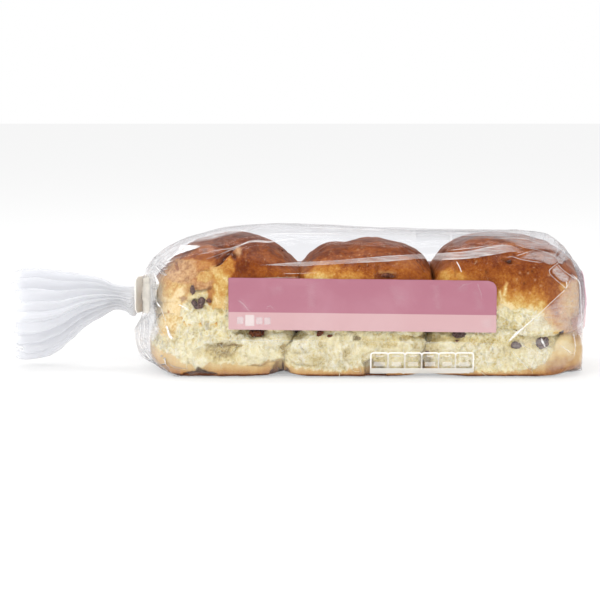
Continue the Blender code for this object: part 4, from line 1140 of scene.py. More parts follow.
# threads of crumb pulled loose where the buns were torn apart
def crumb_threads(count, seed):
    rng = np.random.default_rng(seed)
    pools = []
    for u in made.values():
        front = np.nonzero((u["torn"] > 0.9) & (u["front"] > 0.4) & (u["pit"] < 0.2))[0]
        rest = np.nonzero((u["torn"] > 0.9) & (u["n"][:, 1] > 0.3))[0]
        pools.append((u, front, rest))
    weight = np.array([len(f) for _, f, _ in pools], float)
    weight /= weight.sum()
    pts, faces, deep, n = [], [], [], 0
    for i in range(count):
        u, front, rest = pools[int(rng.choice(len(pools), p=weight))]
        pool = front if i % 4 else rest
        k = int(pool[rng.integers(len(pool))])
        at, nrm = Vector(u["p"][k]), Vector(u["n"][k])
        length, steps = rng.uniform(2.5, 8.5), 9
        ds, bend = length / steps, rng.normal(0, 0.22)
        lift, thick = rng.uniform(0.05, 0.35), rng.uniform(0.12, 0.24)
        way = Vector(rng.normal(size=3)) * 1.0
        way.z *= 1.5
        rows = []
        for j in range(steps + 1):
            hit = bun_tree.find_nearest(at)
            if hit[0] is None:
                break
            nrm = hit[1]
            way = (way - nrm * way.dot(nrm)).normalized()
            side = nrm.cross(way)
            t = j / steps
            c = hit[0] + nrm * (0.1 + lift * math.sin(math.pi * t))
            r = thick * (0.25 + 0.75 * math.sin(math.pi * min(max(t, 0.06), 0.94)))
            rows.append([c + nrm * r, c + side * r - nrm * r * 0.5, c - side * r - nrm * r * 0.5])
            way = way + side * (bend * ds + rng.normal(0, 0.10))
            at = hit[0] + way.normalized() * ds
        for row in rows:
            pts += [tuple(v) for v in row]
        for j in range(len(rows) - 1):
            for e in range(3):
                f = (e + 1) % 3
                faces.append((n + j * 3 + e, n + j * 3 + f, n + j * 3 + 3 + f, n + j * 3 + 3 + e))
        deep += [rng.uniform(0.80, 1.0)] * (len(rows) * 3)
        n += len(rows) * 3
    obj = mesh_object("crumb_threads", np.array(pts), faces, attributes=dict(torn=np.ones(len(pts)), depth=np.array(deep)))
    obj.data.materials.append(BUN)
    return obj


threads = crumb_threads(1100, 77)


# =====================================================================
# raisins and currants
# =====================================================================
def fruit_mesh(seed, size):
    d, faces = cube_sphere(16)
    p = d * np.array(size)
    w = ridged(d * 1.5, seed, 3)
    fine = ridged(d * 4.2 + 0.5 * fbm(d * 2.0, seed + 4, 2)[:, None], seed + 5, 2)
    r = 1 + 0.55 * (w - 0.74) + 0.22 * (fine - 0.72) + 0.26 * fbm(d * 1.1, seed + 9, 2)
    return p * r[:, None], faces


def seat_fruit(where, normal, length, width, height, turn, sunk, kind, seed):
    pts, faces = fruit_mesh(seed, (length / 2, width / 2, height / 2))
    nrm = Vector(normal).normalized()
    ref = Vector((0, 0, 1)) if abs(nrm.z) < 0.9 else Vector((0, 1, 0))
    along = ref.cross(nrm).normalized()
    across = nrm.cross(along)
    a = math.radians(turn)
    ax = along * math.cos(a) + across * math.sin(a)
    ay = nrm.cross(ax)
    frame_m = np.array([ax, ay, nrm]).T
    centre = np.array(where) + np.array(nrm) * height * (0.5 - sunk)
    return pts @ frame_m.T + centre, faces, np.full(len(pts), kind)


fruit_pts, fruit_faces, fruit_kind, base = [], [], [], 0


def add_fruit(*args):
    global base
    p, f, k = seat_fruit(*args)
    fruit_pts.append(p)
    fruit_faces.append(f + base)
    fruit_kind.append(k)
    base += len(p)


for i, ((px, py), ln, wd, ht, turn, sunk, kind) in enumerate(SEEN_FRUIT):
    o, d = pixel_ray(px, py)
    hit = bun_tree.ray_cast(Vector(o), Vector(d))
    if hit[0] is None:
        continue
    add_fruit(hit[0], hit[1], ln, wd, ht, turn, sunk, kind, 900 + i)

# the sides the photo does not show hold fruit too, at about the same spacing
rng = np.random.default_rng(23)
for bi, (name, u) in enumerate(made.items()):
    pts, nrm = u["p"], u["n"]
    for trial in range(9 if u["lower"] else 12):
        k = int(rng.integers(len(pts)))
        ln = rng.uniform(5.0, 8.5)
        args = (rng.uniform(0.55, 0.75) * ln, rng.uniform(0.4, 0.5) * ln, rng.uniform(0, 180), rng.uniform(0.5, 0.7), float(rng.random() < 0.25) * 0.8)
        q, nn = pts[k], nrm[k]
        hidden = nn[1] < 0.25 or u["torn"][k] < 0.5 or q[2] < 4
        if hidden:
            continue
        add_fruit(q, nn, ln, *args, 1200 + bi * 40 + trial)

dried = mesh_object("dried_fruit", np.concatenate(fruit_pts), np.concatenate(fruit_faces), attributes=dict(kind=np.concatenate(fruit_kind)))
dried.data.materials.append(FRUIT)
content_tree = bvh_of(bun_objects + [dried])


# =====================================================================
# the film: one tube from the folded end to the ragged tail
# =====================================================================
TAG_X, TAG_YAW = -105.0, math.radians(24.4)
SHEAR = math.tan(TAG_YAW)
STATIONS = np.array([
    (-86.0, 62.6, 7.1, -15.0, 15.0, 2.2, 2.2, 0.13),
    (-80.0, 64.7, 4.5, -16.5, 16.5, 2.2, 2.2, 0.13),
    (-71.0, 65.0, 5.3, -16.0, 16.0, 2.2, 2.2, 0.12),
    (-57.0, 63.0, 11.7, -14.5, 14.5, 2.1, 2.1, 0.12),
    (-40.0, 61.1, 26.6, -11.5, 11.5, 2.0, 2.0, 0.11),
    (-28.0, 58.5, 33.7, -9.0, 9.0, 2.0, 2.0, 0.1),
    (-18.0, 54.5, 38.7, -7.2, 7.2, 2.0, 2.0, 0.08),
    (-12.0, 54.0, 37.7, -6.6, 6.6, 2.0, 2.0, 0.08),
    (-6.0, 54.3, 33.5, -6.4, 6.4, 2.0, 2.0, 0.07),
    (-2.4, 51.6, 43.0, -3.7, 3.7, 2.0, 2.0, 0.04),
    (-0.95, 50.8, 44.2, -2.9, 2.9, 2.0, 2.0, 0.0),
    (0.95, 50.8, 44.2, -2.9, 2.9, 2.0, 2.0, 0.0),
    (2.0, 60.6, 35.4, -10.5, 10.0, 2.1, 2.1, 0.0),
    (3.0, 63.4, 22.5, -15.0, 13.5, 2.15, 2.2, 0.02),
    (4.0, 66.4, 15.5, -19.0, 16.0, 2.2, 2.3, 0.035),
    (7.0, 70.4, 7.6, -27.0, 23.0, 2.2, 2.5, 0.035),
    (11.0, 74.8, 4.2, -34.0, 30.0, 2.3, 3.1, 0.028),
    (16.0, 79.4, 1.4, -39.5, 36.0, 2.3, 4.2, 0.02),
    (21.0, 82.8, -0.6, -43.2, 40.5, 2.3, 5.4, 0.014),
    (31.0, 86.8, -1.3, -46.6, 45.2, 2.4, 7.0, 0.008),
    (42.0, 89.9, -1.5, -47.8, 47.4, 2.4, 8.5, 0.0),
    (56.0, 93.2, -1.5, -48.0, 48.0, 2.4, 9.0, 0.0),
    (87.0, 96.2, -1.5, -48.0, 48.0, 2.4, 9.0, 0.0),
    (120.0, 95.3, -1.5, -48.0, 48.0, 2.4, 9.0, 0.0),
    (152.0, 93.4, -1.5, -48.0, 48.0, 2.4, 9.0, 0.0),
    (193.0, 92.1, -1.5, -48.0, 48.0, 2.4, 9.0, 0.0),
    (240.0, 91.5, -1.5, -48.0, 48.0, 2.5, 9.0, 0.0),
    (262.0, 90.5, -1.4, -47.7, 47.7, 2.5, 8.0, 0.0),
    (271.0, 89.2, -1.2, -46.8, 46.8, 2.6, 6.5, 0.0),
    (278.0, 84.9, -0.9, -45.0, 45.0, 2.6, 5.4, 0.0),
    (284.6, 77.5, 0.0, -41.5, 41.5, 2.6, 4.4, 0.0),
    (289.4, 71.6, 2.0, -36.5, 36.5, 2.55, 3.7, 0.0),
    (292.9, 66.6, 8.0, -29.0, 29.0, 2.5, 3.2, 0.0),
    (295.1, 60.8, 19.0, -20.0, 20.0, 2.4, 2.8, 0.0),
    (296.2, 54.5, 32.0, -9.5, 9.5, 2.2, 2.4, 0.0),
])


def hermite(x, xs, vs):
    x, xs, vs = np.atleast_1d(np.asarray(x, float)), np.asarray(xs, float), np.asarray(vs, float)
    step = np.diff(xs)
    slope = np.diff(vs) / step
    tan = np.empty_like(vs)
    tan[0], tan[-1] = slope[0], slope[-1]
    a, b = slope[:-1], slope[1:]
    with np.errstate(divide="ignore", invalid="ignore"):
        tan[1:-1] = np.where(a * b <= 0, 0, 2 * a * b / (a + b))
    i = np.clip(np.searchsorted(xs, x) - 1, 0, len(step) - 1)
    t = np.clip((x - xs[i]) / step[i], 0, 1)
    return (
        (1 + 2 * t) * (1 - t) ** 2 * vs[i]
        + t * (1 - t) ** 2 * step[i] * tan[i]
        + t * t * (3 - 2 * t) * vs[i + 1]
        + t * t * (t - 1) * step[i] * tan[i + 1]
    )


def hull(u, a):
    """Film hull at distances u (mm from the tag's plane) and angles a: points (len(u), len(a), 3)."""
    col = [hermite(u, STATIONS[:, 0], STATIONS[:, k])[:, None] for k in range(1, 8)]
    top, bottom, near, far, n_up, n_down, _ = col
    in_body = hermite(u, (2.0, 31.0, 42.0, 278.0, 296.2), (0.0, 0.85, 1.0, 1.0, 0.7))[:, None]
    in_body = np.where(u[:, None] < 2.0, 0.0, in_body)
    middle = (top + bottom) / 2
    waist = middle + (44.0 - middle) * in_body
    waist = np.minimum(np.maximum(waist, bottom + 2.0), top - 2.0)
    c, s = np.cos(a)[None, :], np.sin(a)[None, :]
    n = np.where(s >= 0, n_up, n_down)
    y = np.where(c >= 0, np.abs(far), np.abs(near)) * np.sign(c) * np.abs(c) ** (2 / n)
    z = waist + np.where(s >= 0, top - waist, waist - bottom) * np.sign(s) * np.abs(s) ** (2 / n)
    return y, z, waist


def lean(u, y):
    reach = np.where(u > 0, 30.0, 22.0)
    least = np.where(u > 0, -4.5, -1000.0)
    t = np.clip(np.abs(u) / reach, 0, 1)
    return SHEAR * np.maximum(y, least) * (1 - t * t * (3 - 2 * t))


AROUND = 252
angles = np.arange(AROUND) * 2 * math.pi / AROUND
body_u = np.concatenate([
    [0.95, 1.5, 2.0, 2.5, 3.0, 3.5, 4.0, 4.8, 5.6, 6.4, 7.2, 8.1, 9.0, 10.0, 11.0, 12.1, 13.3, 14.6, 16.0, 17.4, 18.8, 20.2, 21.6, 23.0],
    np.arange(24.6, 262.0, 1.6),
    [263.5, 265.0, 266.5, 268.0, 269.5, 271.0, 272.4, 273.8, 275.2, 276.6, 278.0, 279.3, 280.6, 281.9, 283.2, 284.5, 285.7, 286.9, 288.1, 289.3, 290.3, 291.3, 292.2, 293.0, 293.7, 294.3, 294.9, 295.4, 295.8, 296.2],
])
y, z, waist = hull(body_u, angles)
U = body_u[:, None] * np.ones((1, AROUND))
A = np.ones((len(body_u), 1)) * angles[None, :]

# gathered pleats: they radiate from the neck and die out over the body
phase = 22 * A + 1.3 * np.sin(3 * A + 0.7) + 0.9 * np.sin(5 * A + 2.1)
fold = 1 - 2 * np.abs(((phase / (2 * math.pi)) % 1.0) * 2 - 1)   # sharp zigzag, -1..1
fold2 = np.sin(2 * phase + 1.7 * np.sin(2 * A))
reach = np.exp(-((U / 26.0) ** 1.4))
strength = np.where(U > 0.95, 2.0 * sstep(0.95, 6.0, U) * reach, 0)
wide = hermite(body_u, (0, 60, 80, 296.2), (0, 0, 1, 1))[:, None]
radial_y, radial_z = y, z - waist
length = np.sqrt(radial_y**2 + radial_z**2) + 1e-6
lift = strength * (fold * 0.75 + 0.3 * fold2)
y = y + radial_y / length * lift
z = z + radial_z / length * lift
z = np.maximum(z, 0.25)
x = TAG_X + U + lean(U, y)
out = 6.5 * np.clip((35.0 - z) / 9.0, 0, 1) ** 2 * (3 - 2 * np.clip((35.0 - z) / 9.0, 0, 1)) * np.exp(-(((U - 4.0) / 6.0) ** 2))
x = x - np.where(U > 0.95, out, 0)

body = np.stack([x, y, z], -1)
rows, cols = body.shape[:2]


def grid_faces(rows, cols, offset=0):
    i = np.arange(rows - 1)[:, None]
    j = np.arange(cols)[None, :]
    k = (j + 1) % cols
    return (np.stack([i * cols + j, i * cols + k, (i + 1) * cols + k, (i + 1) * cols + j], -1).reshape(-1, 4) + offset)


def grid_normals(g):
    du = np.gradient(g, axis=0)
    dv = (np.roll(g, -1, axis=1) - np.roll(g, 1, axis=1)) / 2
    n = np.cross(dv, du)
    n /= np.maximum(np.linalg.norm(n, axis=2), 1e-9)[..., None]
    return -n if (n[n.shape[0] // 2, 0, 1] < 0) else n


normals = grid_normals(body)
flat = body.reshape(-1, 3)
nf = normals.reshape(-1, 3)
uu = U.reshape(-1)
# slack and creases of the body: long soft waves along the bag, sharper ones on the shoulders
on_body = sstep(20.0, 60.0, uu)
on_end = sstep(255.0, 285.0, uu)
shoulder = sstep(58.0, 74.0, flat[:, 2]) * (1 - 0.35 * sstep(88.0, 95.0, flat[:, 2]))
under = 1 - sstep(1.0, 8.0, flat[:, 2])
soft = fbm(flat * np.array([0.013, 0.05, 0.05]), 301, 3)
crease = ridged(flat * np.array([0.016, 0.07, 0.07]) + 0.6 * fbm(flat * 0.02, 302, 2)[:, None], 303, 2) - 0.72
front_wave = fbm(flat * np.array([0.02, 0.02, 0.035]), 305, 3)
move = on_body * ((1.5 * soft + 1.9 * crease) * shoulder + 0.35 * front_wave * (1 - shoulder))
move += on_end * (1.6 * (ridged(flat * np.array([0.03, 0.045, 0.03]), 307, 3) - 0.72) + 0.6 * soft)
move += (1 - on_body) * 0.9 * (ridged(flat * 0.06, 309, 2) - 0.72) * sstep(2.0, 8.0, uu)
move *= 1 - under
flat = flat + nf * move[:, None]


def hug(points, outward, tree, gap=0.35, reach=6.0):
    """Keeps the film outside what it wraps: pushed along its own normal, never sideways into a valley."""
    out = points.copy()
    for i, p in enumerate(points):
        near = tree.find_nearest(Vector(p), reach)
        if near[0] is None:
            continue
        d = (Vector(p) - near[0]).dot(near[1])
        facing = float(outward[i] @ np.array(near[1]))
        if d < gap and facing > 0.25:
            out[i] = p + outward[i] * min((gap - d) / facing, 5.0)
    return out


for _ in range(3):
    flat = hug(flat, nf, content_tree, 0.6, 12.0)
flat[:, 2] = np.maximum(flat[:, 2], 0.2)
body = flat.reshape(rows, cols, 3)
film_grid = body.copy()
seen_x, _ = to_pixels(flat)
facing_us = flat[:, 1] < 6.0
over_tag = sstep(153.0, 150.0, seen_x) * facing_us * (flat[:, 2] > 34) * (flat[:, 2] < 66)
haze = 0.26 * np.exp(-((uu / 12.0) ** 1.6)) + 0.10 * np.exp(-((uu / 34.0) ** 2)) + 0.03 * on_end
haze = haze * (1 - over_tag) + over_tag * (0.03 + 0.42 * sstep(145.5, 149.0, seen_x))

# close the folded end
end_ring = body[-1]
mid = end_ring.mean(axis=0)
cap_rows = []
for t in (0.75, 0.5, 0.25, 0.1):
    ring = mid + (end_ring - mid) * t
    ring[:, 0] = end_ring[:, 0] * t + (mid[0] + 0.3) * (1 - t)
    cap_rows.append(ring)
allpts = np.concatenate([body.reshape(-1, 3)] + cap_rows + [mid[None] + [[0.3, 0, 0]]])
total_rows = rows + len(cap_rows)
faces = grid_faces(total_rows, cols)
last = total_rows * cols
fan = [(int((total_rows - 1) * cols + j), int((total_rows - 1) * cols + (j + 1) % cols), last) for j in range(cols)]
haze = np.concatenate([haze, np.full(len(cap_rows) * cols + 1, 0.04)])
low_front = 0.85 * sstep(7.0, 3.5, flat[:, 2]) * sstep(-30.0, -38.0, flat[:, 1]) * sstep(14.0, 24.0, uu) * sstep(292.0, 280.0, uu)
dull = np.concatenate([np.maximum(np.maximum(0.8 * np.exp(-((uu / 16.0) ** 2)), 0.97 * over_tag), low_front), np.zeros(len(cap_rows) * cols + 1)])
film_faces = [tuple(f) for f in faces.tolist()] + fan
film_body = mesh_object("film_body", allpts, film_faces, attributes=dict(haze=haze, dull=dull))
film_body.data.materials.append(FILM)
film_tree = bvh_of([film_body])

# ---------------------------------------------------------------- neck and tail
tail_u = np.concatenate([[0.95, 0.3, -0.3, -0.95, -1.6, -2.4, -3.4, -4.6], -np.linspace(6.0, 84.0, 56)])
y, z, waist = hull(tail_u, angles)
U = tail_u[:, None] * np.ones((1, AROUND))
A = np.ones((len(tail_u), 1)) * angles[None, :]
spread = np.clip((-U - 2.0) / 60.0, 0, 1)
tail_fold = 1 - 2 * np.abs((((19 * A + 1.5 * np.sin(2 * A + 0.3) + 0.9 * np.sin(3 * A + 2.0) + 0.25 * np.sin(U * 0.05)) / (2 * math.pi)) % 1.0) * 2 - 1)
tail_fine = np.sin(57 * A + 1.2 * np.sin(4 * A) + U * 0.02)
amount = np.where(U < -0.95, 0.6 + 4.2 * spread**0.7, 0.0)
ly, lz = y, z - waist
length = np.sqrt(ly**2 + lz**2) + 1e-6
size_here = length
lift = np.minimum(amount, 0.45 * size_here) * (0.65 * tail_fold - 0.35) + np.minimum(amount, 2.2) * 0.16 * tail_fine
y = y + ly / length * lift
z = z + lz / length * lift
x = TAG_X + U + lean(U, y)
tail = np.stack([x, y, z], -1)
p = tail.reshape(-1, 3)
wob = fbm(p * np.array([0.03, 0.09, 0.09]), 401, 3)
wob2 = fbm(p * np.array([0.02, 0.22, 0.22]), 403, 2)
side = np.stack([np.zeros(len(p)), (ly / length).reshape(-1), (lz / length).reshape(-1)], -1)
grow = (np.clip(-U - 2.0, 0, 60) / 60.0).reshape(-1)
p = p + side * (grow * (1.8 * wob + 1.1 * wob2))[:, None]
# ragged, torn end
jag = 2.4 * np.sin(5 * A + 0.8) + 1.6 * np.sin(11 * A + 2.2) + 2.6 * (((A * 23 / (2 * math.pi)) % 1.0) - 0.5) * np.sin(3 * A + 1)
run = sstep(-60.0, -84.0, U)
tail = p.reshape(tail.shape)
tail[..., 0] += (jag * run)
tail[..., 2] = np.maximum(tail[..., 2], 0.5)
tail_haze = (0.22 + 0.16 * np.exp(-((U + 2) / 30.0) ** 2) + 0.5 * np.exp(-((U / 1.6) ** 2))).reshape(-1)
film_tail = mesh_object("film_tail", tail.reshape(-1, 3), grid_faces(len(tail_u), AROUND), attributes=dict(haze=tail_haze))
film_tail.data.materials.append(FILM_GATHER)

# the folds inside the tail
inner = tail.copy()
axis_line = tail.mean(axis=1, keepdims=True)
inner = axis_line + (np.roll(tail, 5, axis=1) - axis_line) * np.array([1.0, 0.55, 0.72])
inner[..., 0] = np.roll(tail, 5, axis=1)[..., 0]
keep_rows = slice(3, len(tail_u))
inner = inner[keep_rows]
film_inner = mesh_object("film_tail_folds", inner.reshape(-1, 3), grid_faces(inner.shape[0], AROUND), attributes=dict(haze=np.full(inner.shape[0] * AROUND, 0.25)))
film_inner.data.materials.append(FILM_GATHER)


# =====================================================================
# what lies on the film: folded layers, haze, painted highlights and painted reflections along its creases, print
# =====================================================================
def drop_on(points_xz, tree, offset, from_back=False):
    """Points of the film seen straight from the front (or back) at each (X, Z), moved out by offset."""
    out = []
    sgn = -1.0 if from_back else 1.0
    for px, pz in points_xz:
        hit = tree.ray_cast(Vector((px, -80.0 * sgn, pz)), Vector((0, sgn, 0)))
        if hit[0] is None:
            hit = tree.find_nearest(Vector((px, -46.0 * sgn, pz)))
        n = hit[1]
        if n.y * sgn > 0:
            n = -n
        out.append(np.array(hit[0] + n * offset))
    return np.array(out)


def pixel_on_film(px, py, lift):
    """The film's nearest point on the line through a pixel, lifted towards the viewer."""
    o, d = pixel_ray(px, py)
    hit = film_tree.ray_cast(Vector(o), Vector(d))
    if hit[0] is None:
        hit = film_tree.find_nearest(Vector(o + d * ((-46.0 - o[1]) / d[1])))
    return np.array(hit[0]) - d * lift


def densify(line, step):
    out = []
    for a, b in zip(line, line[1:]):
        a, b = np.array(a, float), np.array(b, float)
        k = max(1, int(np.linalg.norm((b - a)[:2]) / step))
        for i in range(k):
            out.append(tuple(a + (b - a) * i / k))
    out.append(tuple(line[-1]))
    return out


def smooth_line(line, step):
    """The polyline as a rounded curve (Catmull-Rom), sampled every step pixels; extra columns ride along."""
    pts = np.array(line, float)
    if len(pts) < 3:
        return np.array(densify(line, step))
    pad = np.vstack([2 * pts[0] - pts[1], pts, 2 * pts[-1] - pts[-2]])
    out = []
    for i in range(1, len(pad) - 2):
        p0, p1, p2, p3 = pad[i - 1], pad[i], pad[i + 1], pad[i + 2]
        k = max(1, int(np.linalg.norm((p2 - p1)[:2]) / step))
        for j in range(k):
            t = j / k
            out.append(0.5 * (2 * p1 + (p2 - p0) * t + (2 * p0 - 5 * p1 + 4 * p2 - p3) * t**2 + (3 * p1 - p0 - 3 * p2 + p3) * t**3))
    out.append(pad[-2])
    out = np.array(out)
    out[:, 2:] = np.clip(out[:, 2:], 0, None)
    return out


class Collect:
    """Gathers many small sheets into one mesh."""

    def __init__(self):
        self.pts, self.faces, self.haze, self.tone = [], [], [], []

    def add(self, pts, faces, haze, tone):
        base = len(self.pts)
        self.pts += [tuple(p) for p in pts]
        self.faces += [tuple(v + base for v in f) for f in faces]
        self.haze += list(haze)
        self.tone += list(tone)

    def build(self, name, material):
        obj = mesh_object(name, np.array(self.pts), self.faces, attributes=dict(haze=np.array(self.haze), tone=np.array(self.tone)))
        obj.data.materials.append(material)
        return obj


PROFILE = [(-1.0, 0.0), (-0.55, 0.75), (0.0, 1.0), (0.55, 0.75), (1.0, 0.0)]
HARD = [(-1.0, 0.55), (-0.6, 1.0), (0.0, 1.0), (0.6, 1.0), (1.0, 0.55)]
EDGED = [(-1.0, 0.0), (-0.82, 1.0), (-0.5, 0.72), (0.5, 0.72), (0.82, 1.0), (1.0, 0.0)]


def painted_light_streak(bag, line, tone=0.0, profile=PROFILE, lift=0.35, ends=(0.12, 0.12)):
    """A streak of painted highlight (white) or painted reflection (grey tone) on the film, where a crease would catch
    the light. line: (px, py, width in px, opacity).
    """
    s = smooth_line(line, 1.1)
    t = np.gradient(s[:, :2], axis=0)
    t /= np.maximum(np.linalg.norm(t, axis=1), 1e-9)[:, None]
    nrm = np.stack([-t[:, 1], t[:, 0]], 1)
    pts, haze = [], []
    n = len(s)
    for i in range(n):
        u = i / max(1, n - 1)
        fade = min(1.0, u / ends[0] if ends[0] else 1.0, (1 - u) / ends[1] if ends[1] else 1.0)
        for off, h in profile:
            q = s[i, :2] + nrm[i] * off * s[i, 2] / 2
            pts.append(pixel_on_film(q[0], q[1], lift))
            haze.append(h * s[i, 3] * fade)
    k = len(profile)
    faces = [(i * k + j, i * k + j + 1, (i + 1) * k + j + 1, (i + 1) * k + j) for i in range(n - 1) for j in range(k - 1)]
    bag.add(pts, faces, haze, [tone] * len(pts))


def inside_outline(q, pts):
    hit, dmin = False, 1e9
    n = len(pts)
    for k in range(n):
        a, b = pts[k], pts[(k + 1) % n]
        if (a[1] > q[1]) != (b[1] > q[1]) and q[0] < (b[0] - a[0]) * (q[1] - a[1]) / (b[1] - a[1]) + a[0]:
            hit = not hit
        abx, aby = b[0] - a[0], b[1] - a[1]
        t = max(0.0, min(1.0, ((q[0] - a[0]) * abx + (q[1] - a[1]) * aby) / max(abx * abx + aby * aby, 1e-9)))
        dmin = min(dmin, math.hypot(q[0] - a[0] - abx * t, q[1] - a[1] - aby * t))
    return hit, dmin


def fill_outline(outline, step):
    """Points and faces filling an outline (2-D), and each point's distance from the edge."""
    pts = [tuple(v) for v in densify(list(outline) + [outline[0]], step)[:-1]]
    n_out = len(pts)
    xs, ys = [v[0] for v in pts], [v[1] for v in pts]
    inner, dist = [], []
    gx, row = min(xs) + step / 2, 0
    while gx < max(xs):
        gy = min(ys) + step / 2 + (step / 2 if row % 2 else 0)
        while gy < max(ys):
            ok, dm = inside_outline((gx, gy), pts)
            if ok and dm > step * 0.4:
                inner.append((gx, gy))
                dist.append(dm)
            gy += step
        gx += step
        row += 1
    res = delaunay_2d_cdt([Vector(v) for v in pts + inner], [(k, (k + 1) % n_out) for k in range(n_out)], [], 1, 1e-6)
    v2 = [(v.x, v.y) for v in res[0]]
    d2 = [inside_outline(v, pts)[1] for v in v2]
    return v2, [tuple(f) for f in res[2]], np.array(d2)


def haze_and_painted_light_patch(bag, outline, opacity, soft=2.0, tone=0.0, step=1.8, lift=0.3, grain=0.25, seed=0):
    """A patch on the film inside an outline of pixels: film haze in some places, painted highlight, reflection and
    shade in others.
    """
    v2, faces, dist = fill_outline(outline, step)
    pts = np.array([pixel_on_film(v[0], v[1], lift) for v in v2])
    wob = 1 + grain * 2 * fbm(pts * np.array([0.10, 0.10, 0.30]), 800 + seed, 3)
    haze = np.clip(opacity * (sstep(0.0, soft, dist) if soft else 1.0) * wob, 0, 1)
    bag.add(pts, faces, haze, [tone] * len(pts))


def sheet_from_outline(name, outline, step, offset, material, from_back=False, haze=0.0):
    """A layer lying on the film inside an outline of (X, Z) points."""
    v2, f2, _ = fill_outline(outline, step)
    xyz = drop_on(v2, film_tree, offset, from_back)
    fs = [tuple(f) if not from_back else tuple(reversed(f)) for f in f2]
    obj = mesh_object(name, xyz, fs, attributes=dict(haze=np.full(len(xyz), haze), tone=np.zeros(len(xyz))))
    obj.data.materials.append(material)
    return obj


def ribbon(name, line_xz, width, offset, material, from_back=False):
    """A flat strip of this width along a line on the film."""
    line = np.array(line_xz, float)
    t = np.gradient(line, axis=0)
    t /= np.maximum(np.linalg.norm(t, axis=1), 1e-9)[:, None]
    nrm = np.stack([-t[:, 1], t[:, 0]], 1)
    left = drop_on(line + nrm * width / 2, film_tree, offset, from_back)
    right = drop_on(line - nrm * width / 2, film_tree, offset, from_back)
    pts = np.concatenate([left, right])
    n = len(line)
    fs = [(i, n + i, n + i + 1, i + 1) for i in range(n - 1)]
    if from_back:
        fs = [tuple(reversed(f)) for f in fs]
    obj = mesh_object(name, pts, fs)
    obj.data.materials.append(material)
    return obj


extra_film = []
FILM_HAZE_AND_PAINTED_LIGHT = Collect()

# ------------------------------------------------ gift-wrap fold at the closed end: doubled film haze, with painted highlights along its folds
FLAP = [(566, 289), (556, 298), (540, 313), (523, 328), (508.5, 341.5), (509, 347), (518, 358), (527, 367), (531, 371), (536, 373), (560, 371.5), (571, 365), (577, 352), (580, 335), (581, 312), (580.5, 292), (578, 280), (572, 273), (566, 267), (559.6, 261.7), (553, 266.5), (549.4, 270), (550.5, 274), (555, 279), (561, 284)]
haze_and_painted_light_patch(FILM_HAZE_AND_PAINTED_LIGHT, [(566, 289), (556, 298), (540, 313), (523, 328), (513, 337), (530, 333), (548, 331), (562, 333), (574, 338), (580, 335), (581, 312), (580.5, 292), (578, 280), (572, 273), (568, 280)], 0.24, soft=2.5, tone=0.10, step=2.0, lift=0.5, grain=0.3, seed=1)
haze_and_painted_light_patch(FILM_HAZE_AND_PAINTED_LIGHT, [(512, 340), (530, 337), (550, 338), (566, 340), (577, 344), (575, 358), (566, 368), (556, 372), (536, 373), (527, 367), (518, 358), (510, 348)], 0.12, soft=3.0, tone=0.0, step=2.4, lift=0.5, grain=0.4, seed=11)
flap_xz = [pixel_on_front(*p) for p in FLAP]
extra_film.append(sheet_from_outline("film_end_fold_back", flap_xz, 3.0, 0.5, FILM, from_back=True, haze=0.04))
painted_light_streak(FILM_HAZE_AND_PAINTED_LIGHT, [(566.5, 288.5, 1.0, 0.6), (556, 298, 0.8, 0.55), (540, 313, 0.8, 0.6), (523, 328, 1.5, 0.8), (516, 334, 2.6, 0.8), (509.5, 340.5, 1.4, 0.8), (507, 343, 0.6, 0.4)], profile=HARD, lift=0.8, ends=(0.05, 0.05))
painted_light_streak(FILM_HAZE_AND_PAINTED_LIGHT, [(509, 346, 0.9, 0.40), (518, 358, 0.9, 0.45), (527, 367, 0.9, 0.45), (533, 372, 0.9, 0.3)], lift=0.8)
painted_light_streak(FILM_HAZE_AND_PAINTED_LIGHT, [(560, 261, 0.8, 0.35), (557.5, 263.5, 0.8, 0.45), (552.5, 267.3, 0.9, 0.6), (549.4, 270.3, 1.0, 0.62), (550.3, 274, 0.9, 0.55), (555, 279, 0.8, 0.5), (561, 284, 0.8, 0.5), (566.3, 288.6, 1.0, 0.65)], profile=PROFILE, lift=0.9, ends=(0.05, 0.02))
haze_and_painted_light_patch(FILM_HAZE_AND_PAINTED_LIGHT, [(552.5, 268), (557, 265), (563, 271), (570, 276.5), (568, 283), (562, 282), (556, 277), (551.5, 272)], 0.34, soft=1.5, step=1.5, lift=0.9, seed=2)
painted_light_streak(FILM_HAZE_AND_PAINTED_LIGHT, [(557, 263.5, 0.9, 0.5), (563, 270, 0.9, 0.5), (572, 276.5, 1.0, 0.6), (577.5, 280.5, 1.2, 0.7)], lift=1.0)
painted_light_streak(FILM_HAZE_AND_PAINTED_LIGHT, [(566.3, 281, 0.9, 0.8), (567, 285, 0.9, 0.8), (566.4, 288.5, 0.9, 0.8)], profile=HARD, lift=1.0)
painted_light_streak(FILM_HAZE_AND_PAINTED_LIGHT, [(571, 279, 0.8, 0.6), (569.3, 282.5, 0.8, 0.6), (568, 286, 0.8, 0.6)], lift=1.0)
painted_light_streak(FILM_HAZE_AND_PAINTED_LIGHT, [(571, 273.5, 1.0, 0.5), (576, 278, 1.1, 0.65), (579.3, 282.5, 1.2, 0.7), (580.6, 292, 1.2, 0.6), (581, 304, 1.0, 0.5), (581.5, 316, 0.9, 0.4), (581.8, 330, 0.8, 0.3)], profile=HARD, lift=0.9, ends=(0.1, 0.2))
painted_light_streak(FILM_HAZE_AND_PAINTED_LIGHT, [(573, 332, 1.5, 0.35), (575, 342, 1.8, 0.5), (575.2, 350, 1.4, 0.45), (573, 358, 1.0, 0.3)], lift=0.8)
painted_light_streak(FILM_HAZE_AND_PAINTED_LIGHT, [(560, 345, 1.2, 0.3), (567, 350, 1.5, 0.4), (573, 354, 1.2, 0.35)], lift=0.8)
